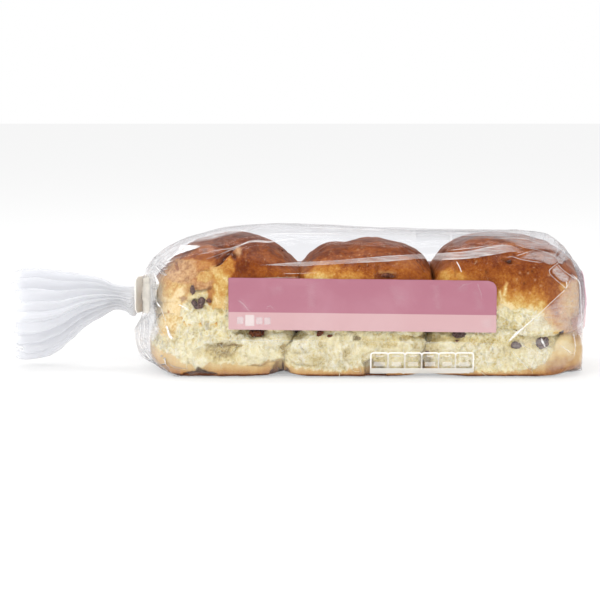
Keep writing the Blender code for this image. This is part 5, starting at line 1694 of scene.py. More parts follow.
painted_light_streak(FILM_HAZE_AND_PAINTED_LIGHT, [(541.2, 338, 1.4, 0.7), (542.4, 341.5, 3.0, 0.8), (544.2, 345, 2.2, 0.7), (545.4, 347.6, 1.0, 0.5)], lift=0.9)
painted_light_streak(FILM_HAZE_AND_PAINTED_LIGHT, [(519, 340, 1.0, 0.35), (524, 346, 1.2, 0.4), (533, 350, 1.0, 0.3)], lift=0.9)
painted_light_streak(FILM_HAZE_AND_PAINTED_LIGHT, [(548, 352, 1.0, 0.3), (546, 359, 1.2, 0.35), (544, 366, 1.0, 0.3)], lift=0.9)

# ------------------------------------------------ the bottom fold's doubled film along the lower front, with a painted highlight along its upper edge
GUSSET = [(176, 341.5), (213, 341), (290, 340.5), (358, 341), (440, 342.5), (507, 343.5), (509.5, 349), (518, 359), (530, 371), (534, 374), (400, 374.2), (250, 374.2), (180, 373.5), (168, 362), (168, 350)]
haze_and_painted_light_patch(FILM_HAZE_AND_PAINTED_LIGHT, GUSSET, 0.060, soft=0, tone=0.0, step=5.0, lift=0.25, grain=0.3, seed=3)
painted_light_streak(FILM_HAZE_AND_PAINTED_LIGHT, [(195, 341.2, 0.8, 0.2), (250, 340.4, 0.8, 0.34), (300, 340.6, 0.8, 0.3), (358, 341, 0.8, 0.22), (440, 342.5, 0.8, 0.3), (507, 343.5, 0.8, 0.4)], lift=0.5)

# ------------------------------------------------ the long fold across the shoulders: a painted highlight band with painted glints
painted_light_streak(FILM_HAZE_AND_PAINTED_LIGHT, [(260, 265.2, 0.8, 0.45), (275, 264.6, 1.8, 0.48), (290, 264.3, 3.4, 0.46), (302, 264.0, 4.6, 0.40), (325, 262.8, 4.2, 0.30), (350, 261.2, 4.6, 0.32), (375, 259.5, 5.6, 0.42), (388, 258.6, 6.2, 0.48), (405, 257.4, 5.6, 0.38), (420, 256.3, 5.2, 0.30), (433, 256.5, 6.4, 0.34), (448, 255.9, 7.4, 0.44), (462, 255.2, 7.8, 0.46), (475, 253.6, 8.2, 0.46), (488, 251.2, 9.4, 0.46), (500, 249.2, 9.6, 0.42), (510, 248.6, 7.0, 0.34), (520, 250.6, 4.0, 0.22), (528, 252.6, 1.4, 0.10)], profile=EDGED, lift=0.4, tone=0.12, ends=(0.06, 0.10))
painted_light_streak(FILM_HAZE_AND_PAINTED_LIGHT, [(435, 260.3, 0.8, 0.5), (452, 259.2, 0.9, 0.55), (470, 258.2, 0.8, 0.5), (484, 256.4, 0.8, 0.4)], lift=0.6)
painted_light_streak(FILM_HAZE_AND_PAINTED_LIGHT, [(448, 250.6, 0.8, 0.4), (462, 249, 0.9, 0.5), (478, 247.2, 0.8, 0.45), (492, 244.6, 0.8, 0.35)], lift=0.6)
painted_light_streak(FILM_HAZE_AND_PAINTED_LIGHT, [(505, 258, 0.7, 0.4), (512, 256.6, 0.8, 0.5), (520, 259, 0.8, 0.5), (531, 261.2, 0.8, 0.45), (543, 262.6, 0.8, 0.4)], lift=0.6)
painted_light_streak(FILM_HAZE_AND_PAINTED_LIGHT, [(516, 256, 1.0, 0.3), (525, 253, 1.2, 0.4), (534, 250.5, 1.0, 0.35)], lift=0.6)
# painted reflections and haze over the right bun's shoulder
haze_and_painted_light_patch(FILM_HAZE_AND_PAINTED_LIGHT, [(460, 235.2), (472, 235.8), (485, 237), (497, 239), (506, 241.6), (514, 244), (522, 247), (530, 249.6), (536, 250), (548, 250.5), (557, 253.5), (560, 258), (559.5, 262), (566, 262), (571, 259), (561, 249), (549, 241), (536, 235.5), (520, 233), (500, 231), (480, 231.5), (466, 233.5)], 0.26, soft=3.0, tone=0.50, step=1.9, lift=0.35, seed=4)
haze_and_painted_light_patch(FILM_HAZE_AND_PAINTED_LIGHT, [(514, 258.2), (521, 257), (528, 253), (534, 250.4), (545, 250.8), (556, 253), (560.5, 258), (559, 262), (553, 265.2), (548.5, 264.8), (543, 262.5), (535, 260.5), (526, 259.6)], 0.26, soft=2.2, tone=0.30, step=1.7, lift=0.45, seed=5)
painted_light_streak(FILM_HAZE_AND_PAINTED_LIGHT, [(456.4, 261.3, 0.7, 0.95), (459.3, 266.5, 0.9, 1.0), (461.6, 272.4, 0.6, 0.95)], profile=HARD, lift=0.7, ends=(0.1, 0.1))
painted_light_streak(FILM_HAZE_AND_PAINTED_LIGHT, [(514, 243.8, 0.9, 0.4), (525, 247.4, 0.9, 0.4), (538, 250, 0.9, 0.35), (550, 254, 0.9, 0.3), (558, 260, 0.9, 0.3)], lift=0.7, tone=0.2)
painted_light_streak(FILM_HAZE_AND_PAINTED_LIGHT, [(497, 239.2, 0.8, 0.35), (510, 238, 1.0, 0.35), (527, 239.5, 1.0, 0.35), (543, 245, 1.0, 0.3)], lift=0.7, tone=0.2)
# ------------------------------------------------ over the left bun: haze, a painted white highlight wedge, and painted glints along the folds
haze_and_painted_light_patch(FILM_HAZE_AND_PAINTED_LIGHT, [(187.5, 244), (200, 242), (214, 239.6), (230, 235), (246, 231.4), (262, 225), (252, 224.6), (238, 227.4), (222, 230), (206, 233.2), (193, 237), (183, 241.4)], 0.42, soft=2.4, tone=0.42, step=1.7, lift=0.35, seed=6)
haze_and_painted_light_patch(FILM_HAZE_AND_PAINTED_LIGHT, [(180, 245.2), (188, 244.6), (197, 245.0), (201.8, 246.2), (197, 248.4), (190, 250.6), (182, 253.2), (175, 255.8), (171.0, 257.4), (175.5, 252.6), (179, 248.4)], 0.93, soft=0.5, tone=0.06, step=1.0, lift=0.6, grain=0.05, seed=7)
painted_light_streak(FILM_HAZE_AND_PAINTED_LIGHT, [(165.5, 261.6, 0.7, 0.7), (171, 257.8, 0.8, 0.8), (176, 254.6, 0.7, 0.7)], profile=HARD, lift=0.7)
painted_light_streak(FILM_HAZE_AND_PAINTED_LIGHT, [(196, 255.2, 0.6, 0.35), (215, 250.6, 0.8, 0.45), (230, 248.4, 1.1, 0.5), (240, 245.4, 1.4, 0.55), (249, 241.8, 2.2, 0.6), (258, 241.2, 2.6, 0.62), (268, 241.8, 2.3, 0.6), (276, 241.2, 1.4, 0.5), (288, 239, 0.9, 0.35), (300, 237.4, 0.8, 0.3)], lift=0.6, tone=0.10, ends=(0.05, 0.1))
painted_light_streak(FILM_HAZE_AND_PAINTED_LIGHT, [(205, 259.4, 0.6, 0.25), (218, 255, 0.7, 0.35), (231, 249.8, 0.8, 0.45), (241, 246.4, 0.9, 0.4)], lift=0.6)
painted_light_streak(FILM_HAZE_AND_PAINTED_LIGHT, [(282, 273.8, 0.7, 0.35), (291, 273.5, 0.7, 0.4), (300, 273.4, 0.7, 0.35), (318, 272.6, 0.7, 0.25)], lift=0.6)
painted_light_streak(FILM_HAZE_AND_PAINTED_LIGHT, [(262, 278, 0.6, 0.25), (280, 277.6, 0.7, 0.3), (300, 277.2, 0.6, 0.25)], lift=0.6)
# short glints about the gathers
for g in (
    [(166, 260.6, 0.8, 0.7), (170, 258.2, 0.9, 0.8), (174, 256.8, 0.8, 0.7)],
    [(164.5, 263.6, 0.7, 0.6), (169, 262, 0.8, 0.7), (173.5, 260.6, 0.6, 0.5)],
    [(162, 267.2, 0.7, 0.6), (167, 266, 0.8, 0.7)],
    [(163, 269.6, 0.6, 0.5), (168, 268.8, 0.7, 0.5)],
    [(155.2, 265.8, 0.9, 0.8), (157.8, 268.8, 1.0, 0.85), (160.6, 272.2, 0.8, 0.7)],
    [(154.2, 274, 0.9, 0.9), (156.0, 278, 2.0, 0.97), (157.9, 283.5, 3.2, 0.97), (158.4, 285.4, 1.6, 0.8)],
    [(155.6, 286, 0.8, 0.6), (156.5, 291, 0.9, 0.5)],
    [(156.4, 302, 1.3, 0.9), (158.5, 305, 1.5, 0.95), (161, 307.6, 0.8, 0.8)],
    [(161, 308, 0.6, 0.5), (163.5, 315, 0.7, 0.6), (166, 322, 0.7, 0.6)],
    [(178, 304.2, 0.8, 0.7), (183, 306.6, 1.0, 0.8), (189.5, 310.4, 0.7, 0.6)],
    [(165.6, 325, 1.4, 0.9), (167.4, 328.5, 2.2, 0.95), (168.6, 333.5, 2.4, 0.85), (171.4, 338, 3.0, 0.8), (174, 340, 1.4, 0.6)],
    [(159.5, 343, 0.6, 0.5), (160.5, 348, 0.7, 0.5)],
    [(166, 354, 0.6, 0.4), (168, 350, 0.7, 0.5)],
):
    painted_light_streak(FILM_HAZE_AND_PAINTED_LIGHT, g, profile=HARD, lift=0.8, ends=(0.12, 0.12))

# ------------------------------------------------ along the top: grey painted reflections and painted highlights where the film runs edge on
painted_light_streak(FILM_HAZE_AND_PAINTED_LIGHT, [(196, 236.4, 2.0, 0.25), (225, 229.6, 3.4, 0.32), (262, 227.2, 6.5, 0.34), (300, 229.6, 8.0, 0.34), (340, 230.8, 8.0, 0.34), (380, 231.4, 7.5, 0.36), (420, 231.9, 7.2, 0.38), (450, 232.2, 6.8, 0.40), (480, 232.6, 6.2, 0.40), (510, 233.2, 5.4, 0.40), (535, 234, 5.0, 0.35)], lift=0.3, tone=0.80, ends=(0.1, 0.1))
for g, tn in (
    ([(262, 224.8, 0.8, 0.5), (280, 224.0, 0.8, 0.5), (320, 225.2, 0.8, 0.5), (343, 226.6, 0.9, 0.55), (380, 228.2, 0.9, 0.55), (410, 230.2, 0.9, 0.5), (440, 231.4, 0.8, 0.4)], 1.0),
    ([(270, 231.6, 0.9, 0.4), (300, 231.3, 0.9, 0.4), (330, 231.0, 0.9, 0.35), (352, 231.2, 0.8, 0.3)], 0.9),
    ([(268, 236.4, 1.2, 0.5), (300, 236.2, 1.2, 0.5), (330, 236.6, 1.2, 0.5), (356, 236.4, 1.2, 0.45)], 0.85),
    ([(420, 235.8, 1.2, 0.5), (440, 235.6, 1.2, 0.5), (466, 235.4, 1.2, 0.5), (500, 235.6, 1.2, 0.45), (526, 234.4, 1.0, 0.35)], 0.85),
    ([(430, 231.6, 0.9, 0.4), (470, 231.0, 0.9, 0.4), (500, 231.4, 0.9, 0.4), (544, 231.2, 0.9, 0.4)], 0.9),
    ([(246, 231.4, 0.8, 0.5), (262, 225.2, 0.8, 0.5)], 0.9),
    ([(544.5, 231.2, 0.9, 0.35), (545, 236, 0.9, 0.3), (546, 241, 0.9, 0.2)], 0.9),
    ([(546, 242.2, 1.0, 0.6), (560, 250.4, 1.4, 0.7), (571, 258.8, 1.4, 0.7), (576.5, 268, 1.2, 0.6), (579.2, 276.5, 1.0, 0.5)], 1.0),
):
    painted_light_streak(FILM_HAZE_AND_PAINTED_LIGHT, g, lift=0.5, tone=tn)
for g in (
    [(266, 233.8, 1.4, 0.45), (300, 233.6, 1.6, 0.5), (340, 233.8, 1.4, 0.45)],
    [(300, 226.8, 1.2, 0.4), (340, 228.8, 1.4, 0.45), (400, 229.8, 1.2, 0.4), (430, 230.0, 1.0, 0.35)],
    [(440, 233.4, 1.2, 0.4), (470, 233.2, 1.2, 0.4)],
    [(282, 240.4, 0.8, 0.4), (300, 238.8, 0.8, 0.4)],
    [(547, 234, 1.2, 0.4), (560, 243.5, 1.4, 0.45), (572, 256, 1.2, 0.4)],
):
    painted_light_streak(FILM_HAZE_AND_PAINTED_LIGHT, g, lift=0.55, tone=0.0)

# ------------------------------------------------ the gathered end: haze, with painted highlights and grey painted reflections on the gathers
haze_and_painted_light_patch(FILM_HAZE_AND_PAINTED_LIGHT, [(149, 266), (156, 257), (166, 248.5), (176, 243.5), (180, 243.5), (178, 248), (170, 256), (163, 265), (156.5, 274), (154, 286), (153.5, 300), (156, 312), (160, 322), (160, 334), (152, 338), (149, 344), (142, 343), (139, 332), (140, 318), (146, 314), (149, 300), (148, 280)], 0.44, soft=2.2, tone=0.40, step=1.9, lift=0.3, grain=0.5, seed=8)
haze_and_painted_light_patch(FILM_HAZE_AND_PAINTED_LIGHT, [(139, 314), (147, 314), (149.5, 330), (149, 345), (153, 356), (160, 366), (168, 373.5), (160, 372), (151, 363), (142, 353.5), (137.6, 344), (137.4, 328)], 0.30, soft=2.0, tone=0.75, step=1.7, lift=0.4, grain=0.4, seed=9)
for g, tn in (
    ([(139.6, 316, 0.9, 0.7), (140.6, 328, 1.1, 0.8), (139.2, 342, 1.1, 0.8), (145.5, 353, 1.3, 0.85), (152.5, 361.5, 1.3, 0.85), (159, 368.6, 1.2, 0.8), (167, 373.2, 0.9, 0.6)], 0.0),
    ([(143.5, 316, 0.9, 0.6), (144.4, 328, 1.1, 0.7), (143.2, 342, 1.0, 0.7), (147.5, 350, 0.9, 0.6)], 0.0),
    ([(147.5, 316, 1.4, 0.5), (148.6, 326, 1.6, 0.5), (147.6, 336, 1.2, 0.45)], 0.9),
    ([(138, 318, 0.8, 0.6), (136.8, 330, 0.9, 0.6), (137.2, 343, 0.9, 0.6), (143, 353.5, 0.9, 0.65), (150, 362.2, 0.9, 0.65), (156, 369.6, 0.9, 0.6), (164, 373.8, 0.8, 0.5)], 1.0),
    ([(149, 346, 0.9, 0.5), (153.4, 356, 1.0, 0.5), (160, 364.5, 1.0, 0.5), (168, 371, 0.8, 0.4)], 0.95),
    ([(151, 270, 0.9, 0.5), (157, 261, 1.0, 0.55), (166, 252, 1.0, 0.5), (175, 247, 0.8, 0.4)], 0.0),
    ([(150, 275, 0.8, 0.5), (153, 268, 0.9, 0.55), (160, 258.5, 0.9, 0.5), (168, 250.5, 0.8, 0.4)], 0.85),
    ([(152, 274, 0.8, 0.5), (158, 265, 0.9, 0.5), (164, 258, 0.9, 0.5)], 0.85),
    ([(151.5, 285, 0.9, 0.5), (152.6, 300, 0.9, 0.5), (153.2, 312, 0.8, 0.4)], 0.7),
    ([(150.5, 316, 0.8, 0.5), (153, 326, 0.9, 0.55), (157, 334, 0.8, 0.4)], 0.8),
    ([(152, 318, 0.8, 0.6), (156, 328, 0.9, 0.6), (161, 335, 0.8, 0.4)], 0.0),
    ([(150, 322, 0.7, 0.5), (151.6, 334, 0.8, 0.5), (153, 342, 0.7, 0.4)], 0.0),
    ([(155, 320, 0.7, 0.5), (160, 330, 0.8, 0.5), (166, 338, 0.7, 0.3)], 0.0),
):
    painted_light_streak(FILM_HAZE_AND_PAINTED_LIGHT, g, lift=0.7, tone=tn)
haze_and_painted_light_patch(FILM_HAZE_AND_PAINTED_LIGHT, [(147, 262), (153, 256), (159, 251), (160.5, 258), (157.5, 267), (155, 275), (156.4, 284), (156, 296), (154.5, 306), (157, 318), (159, 328), (157, 338), (152, 342), (148, 336), (146.5, 322), (150, 312), (153, 300), (153, 288), (151, 278), (147, 271)], 0.56, soft=2.0, tone=0.22, step=1.7, lift=0.45, grain=0.4, seed=14)
# the gathers in front of the tag's inner half: a nearly opaque beige patch, painted light that brightens the tag seen
# through the film, and a thin grey-white haze beside it
TAG_PAINTED_LIGHT = Collect()
haze_and_painted_light_patch(TAG_PAINTED_LIGHT, [(138.2, 278.6), (143, 276.5), (148.6, 275), (150.4, 277), (151.2, 288), (151.2, 300), (150.6, 311), (148.4, 314.5), (143, 314), (138.2, 312.6)], 0.90, soft=2.2, tone=0.0, step=1.0, lift=0.5, grain=0.10, seed=12)
haze_and_painted_light_patch(TAG_PAINTED_LIGHT, [(148, 274), (152, 272.5), (155.5, 284), (155, 300), (154.5, 313), (150, 317), (147.5, 300)], 0.26, soft=1.8, tone=0.85, step=1.0, lift=0.62, grain=0.2, seed=13)
# faint painted sheen on the print bands
for poly, amt, seed in (
    ([(430, 283), (441, 283), (444, 312), (432, 312)], 0.08, 31),
    ([(456, 284), (468, 283), (470, 291), (458, 293)], 0.11, 32),
    ([(471, 285), (481, 290), (487, 312), (474, 312)], 0.10, 33),
    ([(304, 281), (318, 281), (317, 311), (306, 311)], 0.08, 34),
    ([(236, 298), (244, 298), (257, 312), (240, 312)], 0.08, 35),
    ([(266, 284), (284, 281), (286, 294), (270, 300)], 0.06, 36),
    ([(384, 284), (398, 283), (410, 300), (396, 309)], 0.06, 37),
    ([(478, 317), (494, 316), (495, 330), (480, 331)], 0.16, 38),
    ([(234, 314), (262, 315), (262, 328), (238, 328)], 0.10, 39),
):
    haze_and_painted_light_patch(FILM_HAZE_AND_PAINTED_LIGHT, poly, amt * 0.62, soft=6.5, tone=0.0, step=1.7, lift=0.55, grain=0.5, seed=seed)
# painted glints on the print bands
for g in (
    [(238, 300, 0.9, 0.16), (244, 305, 1.2, 0.24), (251, 313, 0.8, 0.14)],
    [(266, 309, 0.8, 0.14), (270, 306, 0.9, 0.18), (276, 311, 0.7, 0.12)],
    [(477, 283, 0.9, 0.14), (480, 290, 1.1, 0.20), (482, 299, 0.8, 0.10)],
    [(457, 290, 0.8, 0.12), (464, 285, 1.0, 0.16), (472, 283, 0.8, 0.10)],
):
    painted_light_streak(FILM_HAZE_AND_PAINTED_LIGHT, g, lift=0.6)
haze_and_painted_light_sheets = FILM_HAZE_AND_PAINTED_LIGHT.build("film_haze_and_painted_light", HAZE_AND_PAINTED_LIGHT_LOOK)
tag_painted_light = TAG_PAINTED_LIGHT.build("film_painted_tag_light", TAG_PAINTED_LIGHT_LOOK)
# print tint seen round the folded end, and painted shade where the lower right bun's end turns from the light
END_TINT_AND_SHADE = Collect()
haze_and_painted_light_patch(END_TINT_AND_SHADE, [(575.5, 264), (579, 266), (582.5, 274), (584.4, 288), (584.4, 314), (580.5, 314), (580, 300), (579.6, 284), (577, 274)], 0.30, soft=1.4, tone=0.1, step=1.2, lift=0.55, grain=0.2, seed=15)
haze_and_painted_light_patch(END_TINT_AND_SHADE, [(570, 319), (576, 315), (582, 310), (584.4, 312), (584, 324), (582.8, 336), (578, 336), (572, 330)], 0.50, soft=2.2, tone=0.75, step=1.3, lift=0.55, grain=0.3, seed=16)
end_tint_and_shade = END_TINT_AND_SHADE.build("film_end_tint_and_painted_shade", END_TINT_AND_SHADE_LOOK)
extra_film.append(haze_and_painted_light_sheets)

# ------------------------------------------------------------------- print
PINK = print_material("print_rose", srgb(176, 114, 131), srgb(194, 143, 156))
PALE = print_material("print_pale_rose", srgb(207, 167, 170), srgb(216, 184, 187), 0.3)
PINK_BACK = print_material("print_rose_back", srgb(204, 146, 166), srgb(212, 168, 184), 0.3, 1.0, 0.80)
PALE_BACK = print_material("print_pale_rose_back", srgb(226, 188, 192), srgb(232, 204, 206), 0.3, 1.0, 0.70)
WHITE = print_material("print_white", srgb(240, 238, 236), srgb(246, 245, 244), 0.3, 1.0, 0.86)
WHITE_SOFT = print_material("print_white_thin", srgb(238, 236, 236), srgb(246, 245, 244), 0.3, 1.0, 0.36)
WHITE_SQUARE = print_material("print_white_square", srgb(238, 228, 226), srgb(244, 236, 234), 0.3, 1.0, 0.62)
WHITE_STRIP = print_material("print_white_strip", srgb(224, 222, 216), srgb(234, 232, 228), 0.3, 1.0, 0.84)


def band(name, x0, x1, z0, z1, radius, material, offset=0.16, step=1.6, from_back=False, slope=0.0):
    nz = max(3, int((z1 - z0) / step))
    nx = max(3, int((x1 - x0) / step))
    pts = []
    for i in range(nz + 1):
        zz = z0 + (z1 - z0) * i / nz
        right = x1
        if radius and zz > z1 - radius:
            right = x1 - radius + math.sqrt(max(0.0, radius**2 - (zz - (z1 - radius)) ** 2))
        for j in range(nx + 1):
            xx = x0 + (right - x0) * j / nx
            pts.append((xx, zz + slope * (xx - LX0)))
    xyz = drop_on(pts, film_tree, offset, from_back)
    fs = []
    for i in range(nz):
        for j in range(nx):
            a = i * (nx + 1) + j
            q = (a, a + 1, a + nx + 2, a + nx + 1)
            fs.append(q if not from_back else q[::-1])
    obj = mesh_object(name, xyz, fs)
    obj.data.materials.append(material)
    return obj


def wrap_band(name, first, last, z0, z1, material, offset=0.16, n=14):
    """Print on the back that runs on round the closed end: between two heights, along the film's own rings."""
    g = film_grid[first:last]
    nrm = grid_normals(film_grid)[first:last]
    pts = []
    for ring, rn in zip(g, nrm):
        # walk up the back half of the ring
        lowest, highest = int(np.argmin(ring[:, 2] - 1e-3 * ring[:, 1])), int(np.argmax(ring[:, 2]))
        m = len(ring)
        i, path = lowest, []
        # the way round that goes through the back
        step = 1 if ring[(lowest + m // 4) % m, 1] > ring[(lowest - m // 4) % m, 1] else -1
        while i != highest:
            path.append(i)
            i = (i + step) % m
        path.append(highest)
        zs = np.maximum.accumulate(ring[path, 2])
        for k in range(n + 1):
            zz = min(max(z0 + (z1 - z0) * k / n, zs[0]), zs[-1])
            j = int(np.clip(np.searchsorted(zs, zz), 1, len(path) - 1))
            a, b = path[j - 1], path[j]
            t = float(np.clip((zz - zs[j - 1]) / max(zs[j] - zs[j - 1], 1e-6), 0, 1))
            p = ring[a] * (1 - t) + ring[b] * t
            q = rn[a] * (1 - t) + rn[b] * t
            pts.append(p + q / max(np.linalg.norm(q), 1e-6) * offset)
    rows_n = len(g)
    k = n + 1
    fs = [(i * k + j, i * k + j + 1, (i + 1) * k + j + 1, (i + 1) * k + j) for i in range(rows_n - 1) for j in range(n)]
    obj = mesh_object(name, np.array(pts), fs)
    obj.data.materials.append(material)
    return obj


def end_print(name, first, z0, z1, material, offset=0.16):
    """Print that goes on round the folded end: the film's own faces there, between two heights."""
    g = np.concatenate([film_grid[first:], np.array(cap_rows)])
    nrm = grid_normals(g)
    pts = (g + nrm * offset).reshape(-1, 3)
    n, m = g.shape[:2]
    fs = []
    for i in range(n - 1):
        for j in range(m):
            k = (j + 1) % m
            q = (i * m + j, i * m + k, (i + 1) * m + k, (i + 1) * m + j)
            zs = [pts[v][2] for v in q]
            if max(zs) > z0 and min(zs) < z1:
                fs.append(q)
    used = sorted({v for f in fs for v in f})
    back = {v: i for i, v in enumerate(used)}
    obj = mesh_object(name, pts[used], [tuple(back[v] for v in f) for f in fs])
    # trimmed level at both heights
    trim = bmesh.new()
    trim.from_mesh(obj.data)
    for level, below in ((z0, True), (z1, False)):
        bmesh.ops.bisect_plane(trim, geom=trim.verts[:] + trim.edges[:] + trim.faces[:], plane_co=(0, 0, level * MM),
                               plane_no=(0, 0, 1), clear_inner=below, clear_outer=not below)
    trim.to_mesh(obj.data)
    trim.free()
    obj.data.materials.append(material)
    return obj


(LX0, LZ1), (LX1, _) = pixel_on_front(228.3, 278.2), pixel_on_front(496.9, 281)
_, LZM = pixel_on_front(300, 313.2)
_, LZ0 = pixel_on_front(300, 332.6)
# the front band sits a little askew: lower at its right
TOP_Z, MID_Z, LOW_Z = [pixel_on_front(228.3, v)[1] for v in (278.0, 311.9, 329.3)]
TILT = (pixel_on_front(496.9, 332.5)[1] - LOW_Z) / (LX1 - LX0)
end_row = int(np.searchsorted(body_u, 292.2))
row_first = int(np.argmin(np.abs(body_u - (LX0 - 10 - TAG_X))))
prints = [
    band("print_band_upper", LX0, LX1, MID_Z, TOP_Z, 5.4, PINK, step=1.1, slope=TILT),
    band("print_band_lower", LX0, LX1, LOW_Z, MID_Z, 0.0, PALE, slope=TILT),
    wrap_band("print_back_upper", row_first, end_row + 1, LZM, LZ1, PINK_BACK),
    wrap_band("print_back_lower", row_first, end_row + 1, LZ0, LZM, PALE_BACK),
    end_print("print_end_upper", end_row, LZM, LZ1, PINK_BACK),
    end_print("print_end_lower", end_row, LZ0, LZM, PALE_BACK),
]
# a row of outlined cells near the base, left blank
cell_x = [370.8, 388.0, 404.8, 421.7, 438.6, 455.5, 473.3]
cx = [pixel_on_front(v, 352.5)[0] for v in cell_x]
_, cz1 = pixel_on_front(400, 352.6)
_, cz0 = pixel_on_front(400, 367.9)
_, cs0 = pixel_on_front(400, 373.4)
W = 0.95
cells = []
r = 1.6
for a, b in zip(cx, cx[1:]):
    top = []
    for k in range(7):
        t = math.pi - k * math.pi / 12
        top.append((a + r + r * math.cos(t), cz1 - r + r * math.sin(t)))
    for k in range(7):
        t = math.pi / 2 - k * math.pi / 12
        top.append((b - r + r * math.cos(t), cz1 - r + r * math.sin(t)))
    line = densify([(a, cz0)] + [(a, cz1 - r)] + top + [(b, cz1 - r), (b, cz0)], 1.0)
    clean = [line[0]]
    for q in line[1:]:
        if math.dist(q, clean[-1]) > 0.05:
            clean.append(q)
    cells.append(ribbon("cell", clean, W, 0.6, WHITE))
def joined(name, pieces):
    if len(pieces) == 1:
        pieces[0].name = name
        return pieces[0]
    bpy.ops.object.select_all(action="DESELECT")
    for c in pieces:
        c.select_set(True)
    bpy.context.view_layer.objects.active = pieces[0]
    bpy.ops.object.join()
    pieces[0].name = name
    return pieces[0]


prints.append(joined("print_cells", cells))
strip = [band("cell_strip", cx[0] - W / 2, cx[-1] + W / 2, cs0, cz0, 0.0, WHITE_STRIP, offset=0.6, step=1.2)]
prints.append(joined("print_cell_strip", strip))
# plain bars in the cells, and plain squares on the pale band
bars = []
for i, (a, b) in enumerate(zip(cx, cx[1:])):
    mid = (a + b) / 2
    bars.append(band("bar", mid - 2.6, mid + 2.6, cz1 - 2.6, cz1 - 1.7, 0.0, WHITE_SOFT, offset=0.62, step=0.8))
    half = (3.6, 3.0, 3.2, 3.4, 3.0, 3.4)[i]
    bars.append(band("bar", mid - half, mid + half, cz0 + 1.3, cz0 + 4.2, 0.0, WHITE_SOFT, offset=0.62, step=0.9))
for sx, sy in ((240.2, 320.2), (259.4, 320.6), (267.4, 320.8)):
    qx, qz = pixel_on_front(sx, sy)
    bars.append(band("square", qx - 2.0, qx + 2.0, qz - 2.3, qz + 2.3, 0.0, WHITE_SOFT, offset=0.3, step=0.9))
prints.append(joined("print_plain_bars", bars))
qx, qz = pixel_on_front(249.8, 320.3)
prints.append(joined("print_plain_square", [band("square", qx - 2.9, qx + 2.9, qz - 3.6, qz + 3.6, 0.0, WHITE_SQUARE, offset=0.3, step=0.9)]))


# =====================================================================
# ride, replace, slots
# =====================================================================
for o in bun_objects + [threads]:
    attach(o, "root")
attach(dried, "root")
for o in [film_body, film_tail, film_inner, tag_painted_light, end_tint_and_shade] + extra_film:
    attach(o, "root")
for o in prints:
    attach(o, "root")
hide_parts("bag")
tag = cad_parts["closure_tag"]
tag = tag if isinstance(tag, bpy.types.Object) else bpy.data.objects["closure_tag"]
for slot in tag.material_slots:
    slot.material = tag_material()

# =====================================================================
# stage, light, camera
# =====================================================================
floor_mesh = bpy.data.meshes.new("floor")
bm = bmesh.new()
bmesh.ops.create_grid(bm, x_segments=2, y_segments=2, size=4.0)
bm.to_mesh(floor_mesh)
bm.free()
floor = bpy.data.objects.new("floor", floor_mesh)
floor.location.z = -0.0006
bpy.context.scene.collection.objects.link(floor)
fm = Nodes("pale_floor")
lit_floor = fm.principled()
lit_floor.inputs["Base Color"].default_value = (0.9, 0.9, 0.9, 1.0)
seen_floor = fm.principled()
seen_floor.inputs["Base Color"].default_value = (0.32, 0.32, 0.32, 1.0)
seen_floor.inputs["Emission Color"].default_value = (1.0, 1.0, 1.0, 1.0)
seen_floor.inputs["Emission Strength"].default_value = 0.60
for f in (lit_floor, seen_floor):
    f.inputs["Roughness"].default_value = 0.9
    f.inputs["Specular IOR Level"].default_value = 0.0
fs = fm.node("ShaderNodeMixShader")
fm.link(fm.node("ShaderNodeLightPath").outputs["Is Camera Ray"], fs.inputs[0])
fm.link(lit_floor.outputs[0], fs.inputs[1])
fm.link(seen_floor.outputs[0], fs.inputs[2])
floor_mesh.materials.append(fm.surface(fs.outputs[0]))


def area(name, loc, target, size, size_y, power, colour=(1, 1, 1)):
    data = bpy.data.lights.new(name, "AREA")
    data.shape = "RECTANGLE"
    data.size = size
    data.size_y = size_y
    data.energy = power
    data.color = colour
    obj = bpy.data.objects.new(name, data)
    bpy.context.scene.collection.objects.link(obj)
    obj.location = loc
    obj.rotation_euler = (Vector(target) - Vector(loc)).to_track_quat("-Z", "Y").to_euler()
    return obj


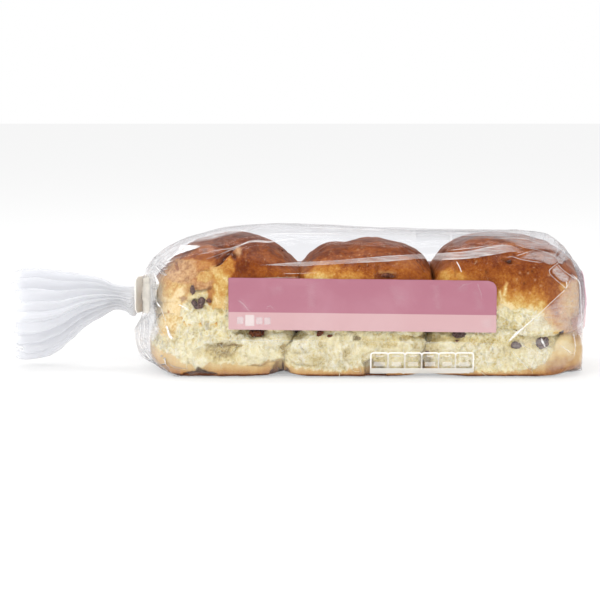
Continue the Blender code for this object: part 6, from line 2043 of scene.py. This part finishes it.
key = area("key", (-0.75, -1.0, 1.15), (0, 0, 0.04), 0.7, 0.7, 8.2)
key.visible_glossy = False
fill = area("fill", (1.1, -1.0, 0.6), (0, 0, 0.05), 0.8, 0.8, 3.0)
fill.visible_glossy = False
side = area("side", (-1.4, -0.5, 0.25), (-0.15, 0, 0.05), 0.6, 0.6, 2.0)
side.visible_glossy = False
area("top_strip", (0.05, 0.25, 1.1), (0, 0, 0.05), 1.3, 0.35, 6.0)

world = bpy.data.worlds.new("studio")
bpy.context.scene.world = world
world.use_nodes = True
wt = world.node_tree
wt.nodes.clear()
wo = wt.nodes.new("ShaderNodeOutputWorld")
seen = wt.nodes.new("ShaderNodeBackground")
seen.inputs["Color"].default_value = (1, 1, 1, 1)
seen.inputs["Strength"].default_value = 1.0
lit = wt.nodes.new("ShaderNodeBackground")
lit.inputs["Color"].default_value = (1.0, 1.0, 1.0, 1)
lit.inputs["Strength"].default_value = 1.0
# what the shiny film mirrors: a dimmer room
mirrored = wt.nodes.new("ShaderNodeBackground")
mirrored.inputs["Color"].default_value = (1.0, 1.0, 1.0, 1)
mirrored.inputs["Strength"].default_value = 0.47
path = wt.nodes.new("ShaderNodeLightPath")
dim = wt.nodes.new("ShaderNodeMixShader")
wt.links.new(path.outputs["Is Glossy Ray"], dim.inputs[0])
wt.links.new(lit.outputs[0], dim.inputs[1])
wt.links.new(mirrored.outputs[0], dim.inputs[2])
both = wt.nodes.new("ShaderNodeMixShader")
wt.links.new(path.outputs["Is Camera Ray"], both.inputs[0])
wt.links.new(dim.outputs[0], both.inputs[1])
wt.links.new(seen.outputs[0], both.inputs[2])
wt.links.new(both.outputs[0], wo.inputs["Surface"])

cam_data = bpy.data.cameras.new("camera")
cam_data.sensor_fit = "HORIZONTAL"
cam_data.sensor_width = 36.0
cam_data.lens = 36.0 * FOCAL_PX / 600.0
cam_data.clip_start = 0.05
cam_data.clip_end = 50.0
cam = bpy.data.objects.new("camera", cam_data)
bpy.context.scene.collection.objects.link(cam)
cam.location = EYE * MM
cam.rotation_euler = Vector(FWD).to_track_quat("-Z", "Y").to_euler()
bpy.context.scene.camera = cam

scene = bpy.context.scene
scene.view_settings.view_transform = "Standard"
scene.view_settings.look = "None"
scene.view_settings.exposure = 0.0
scene.view_settings.gamma = 1.0
scene.cycles.transparent_max_bounces = 96
scene.cycles.max_bounces = 10

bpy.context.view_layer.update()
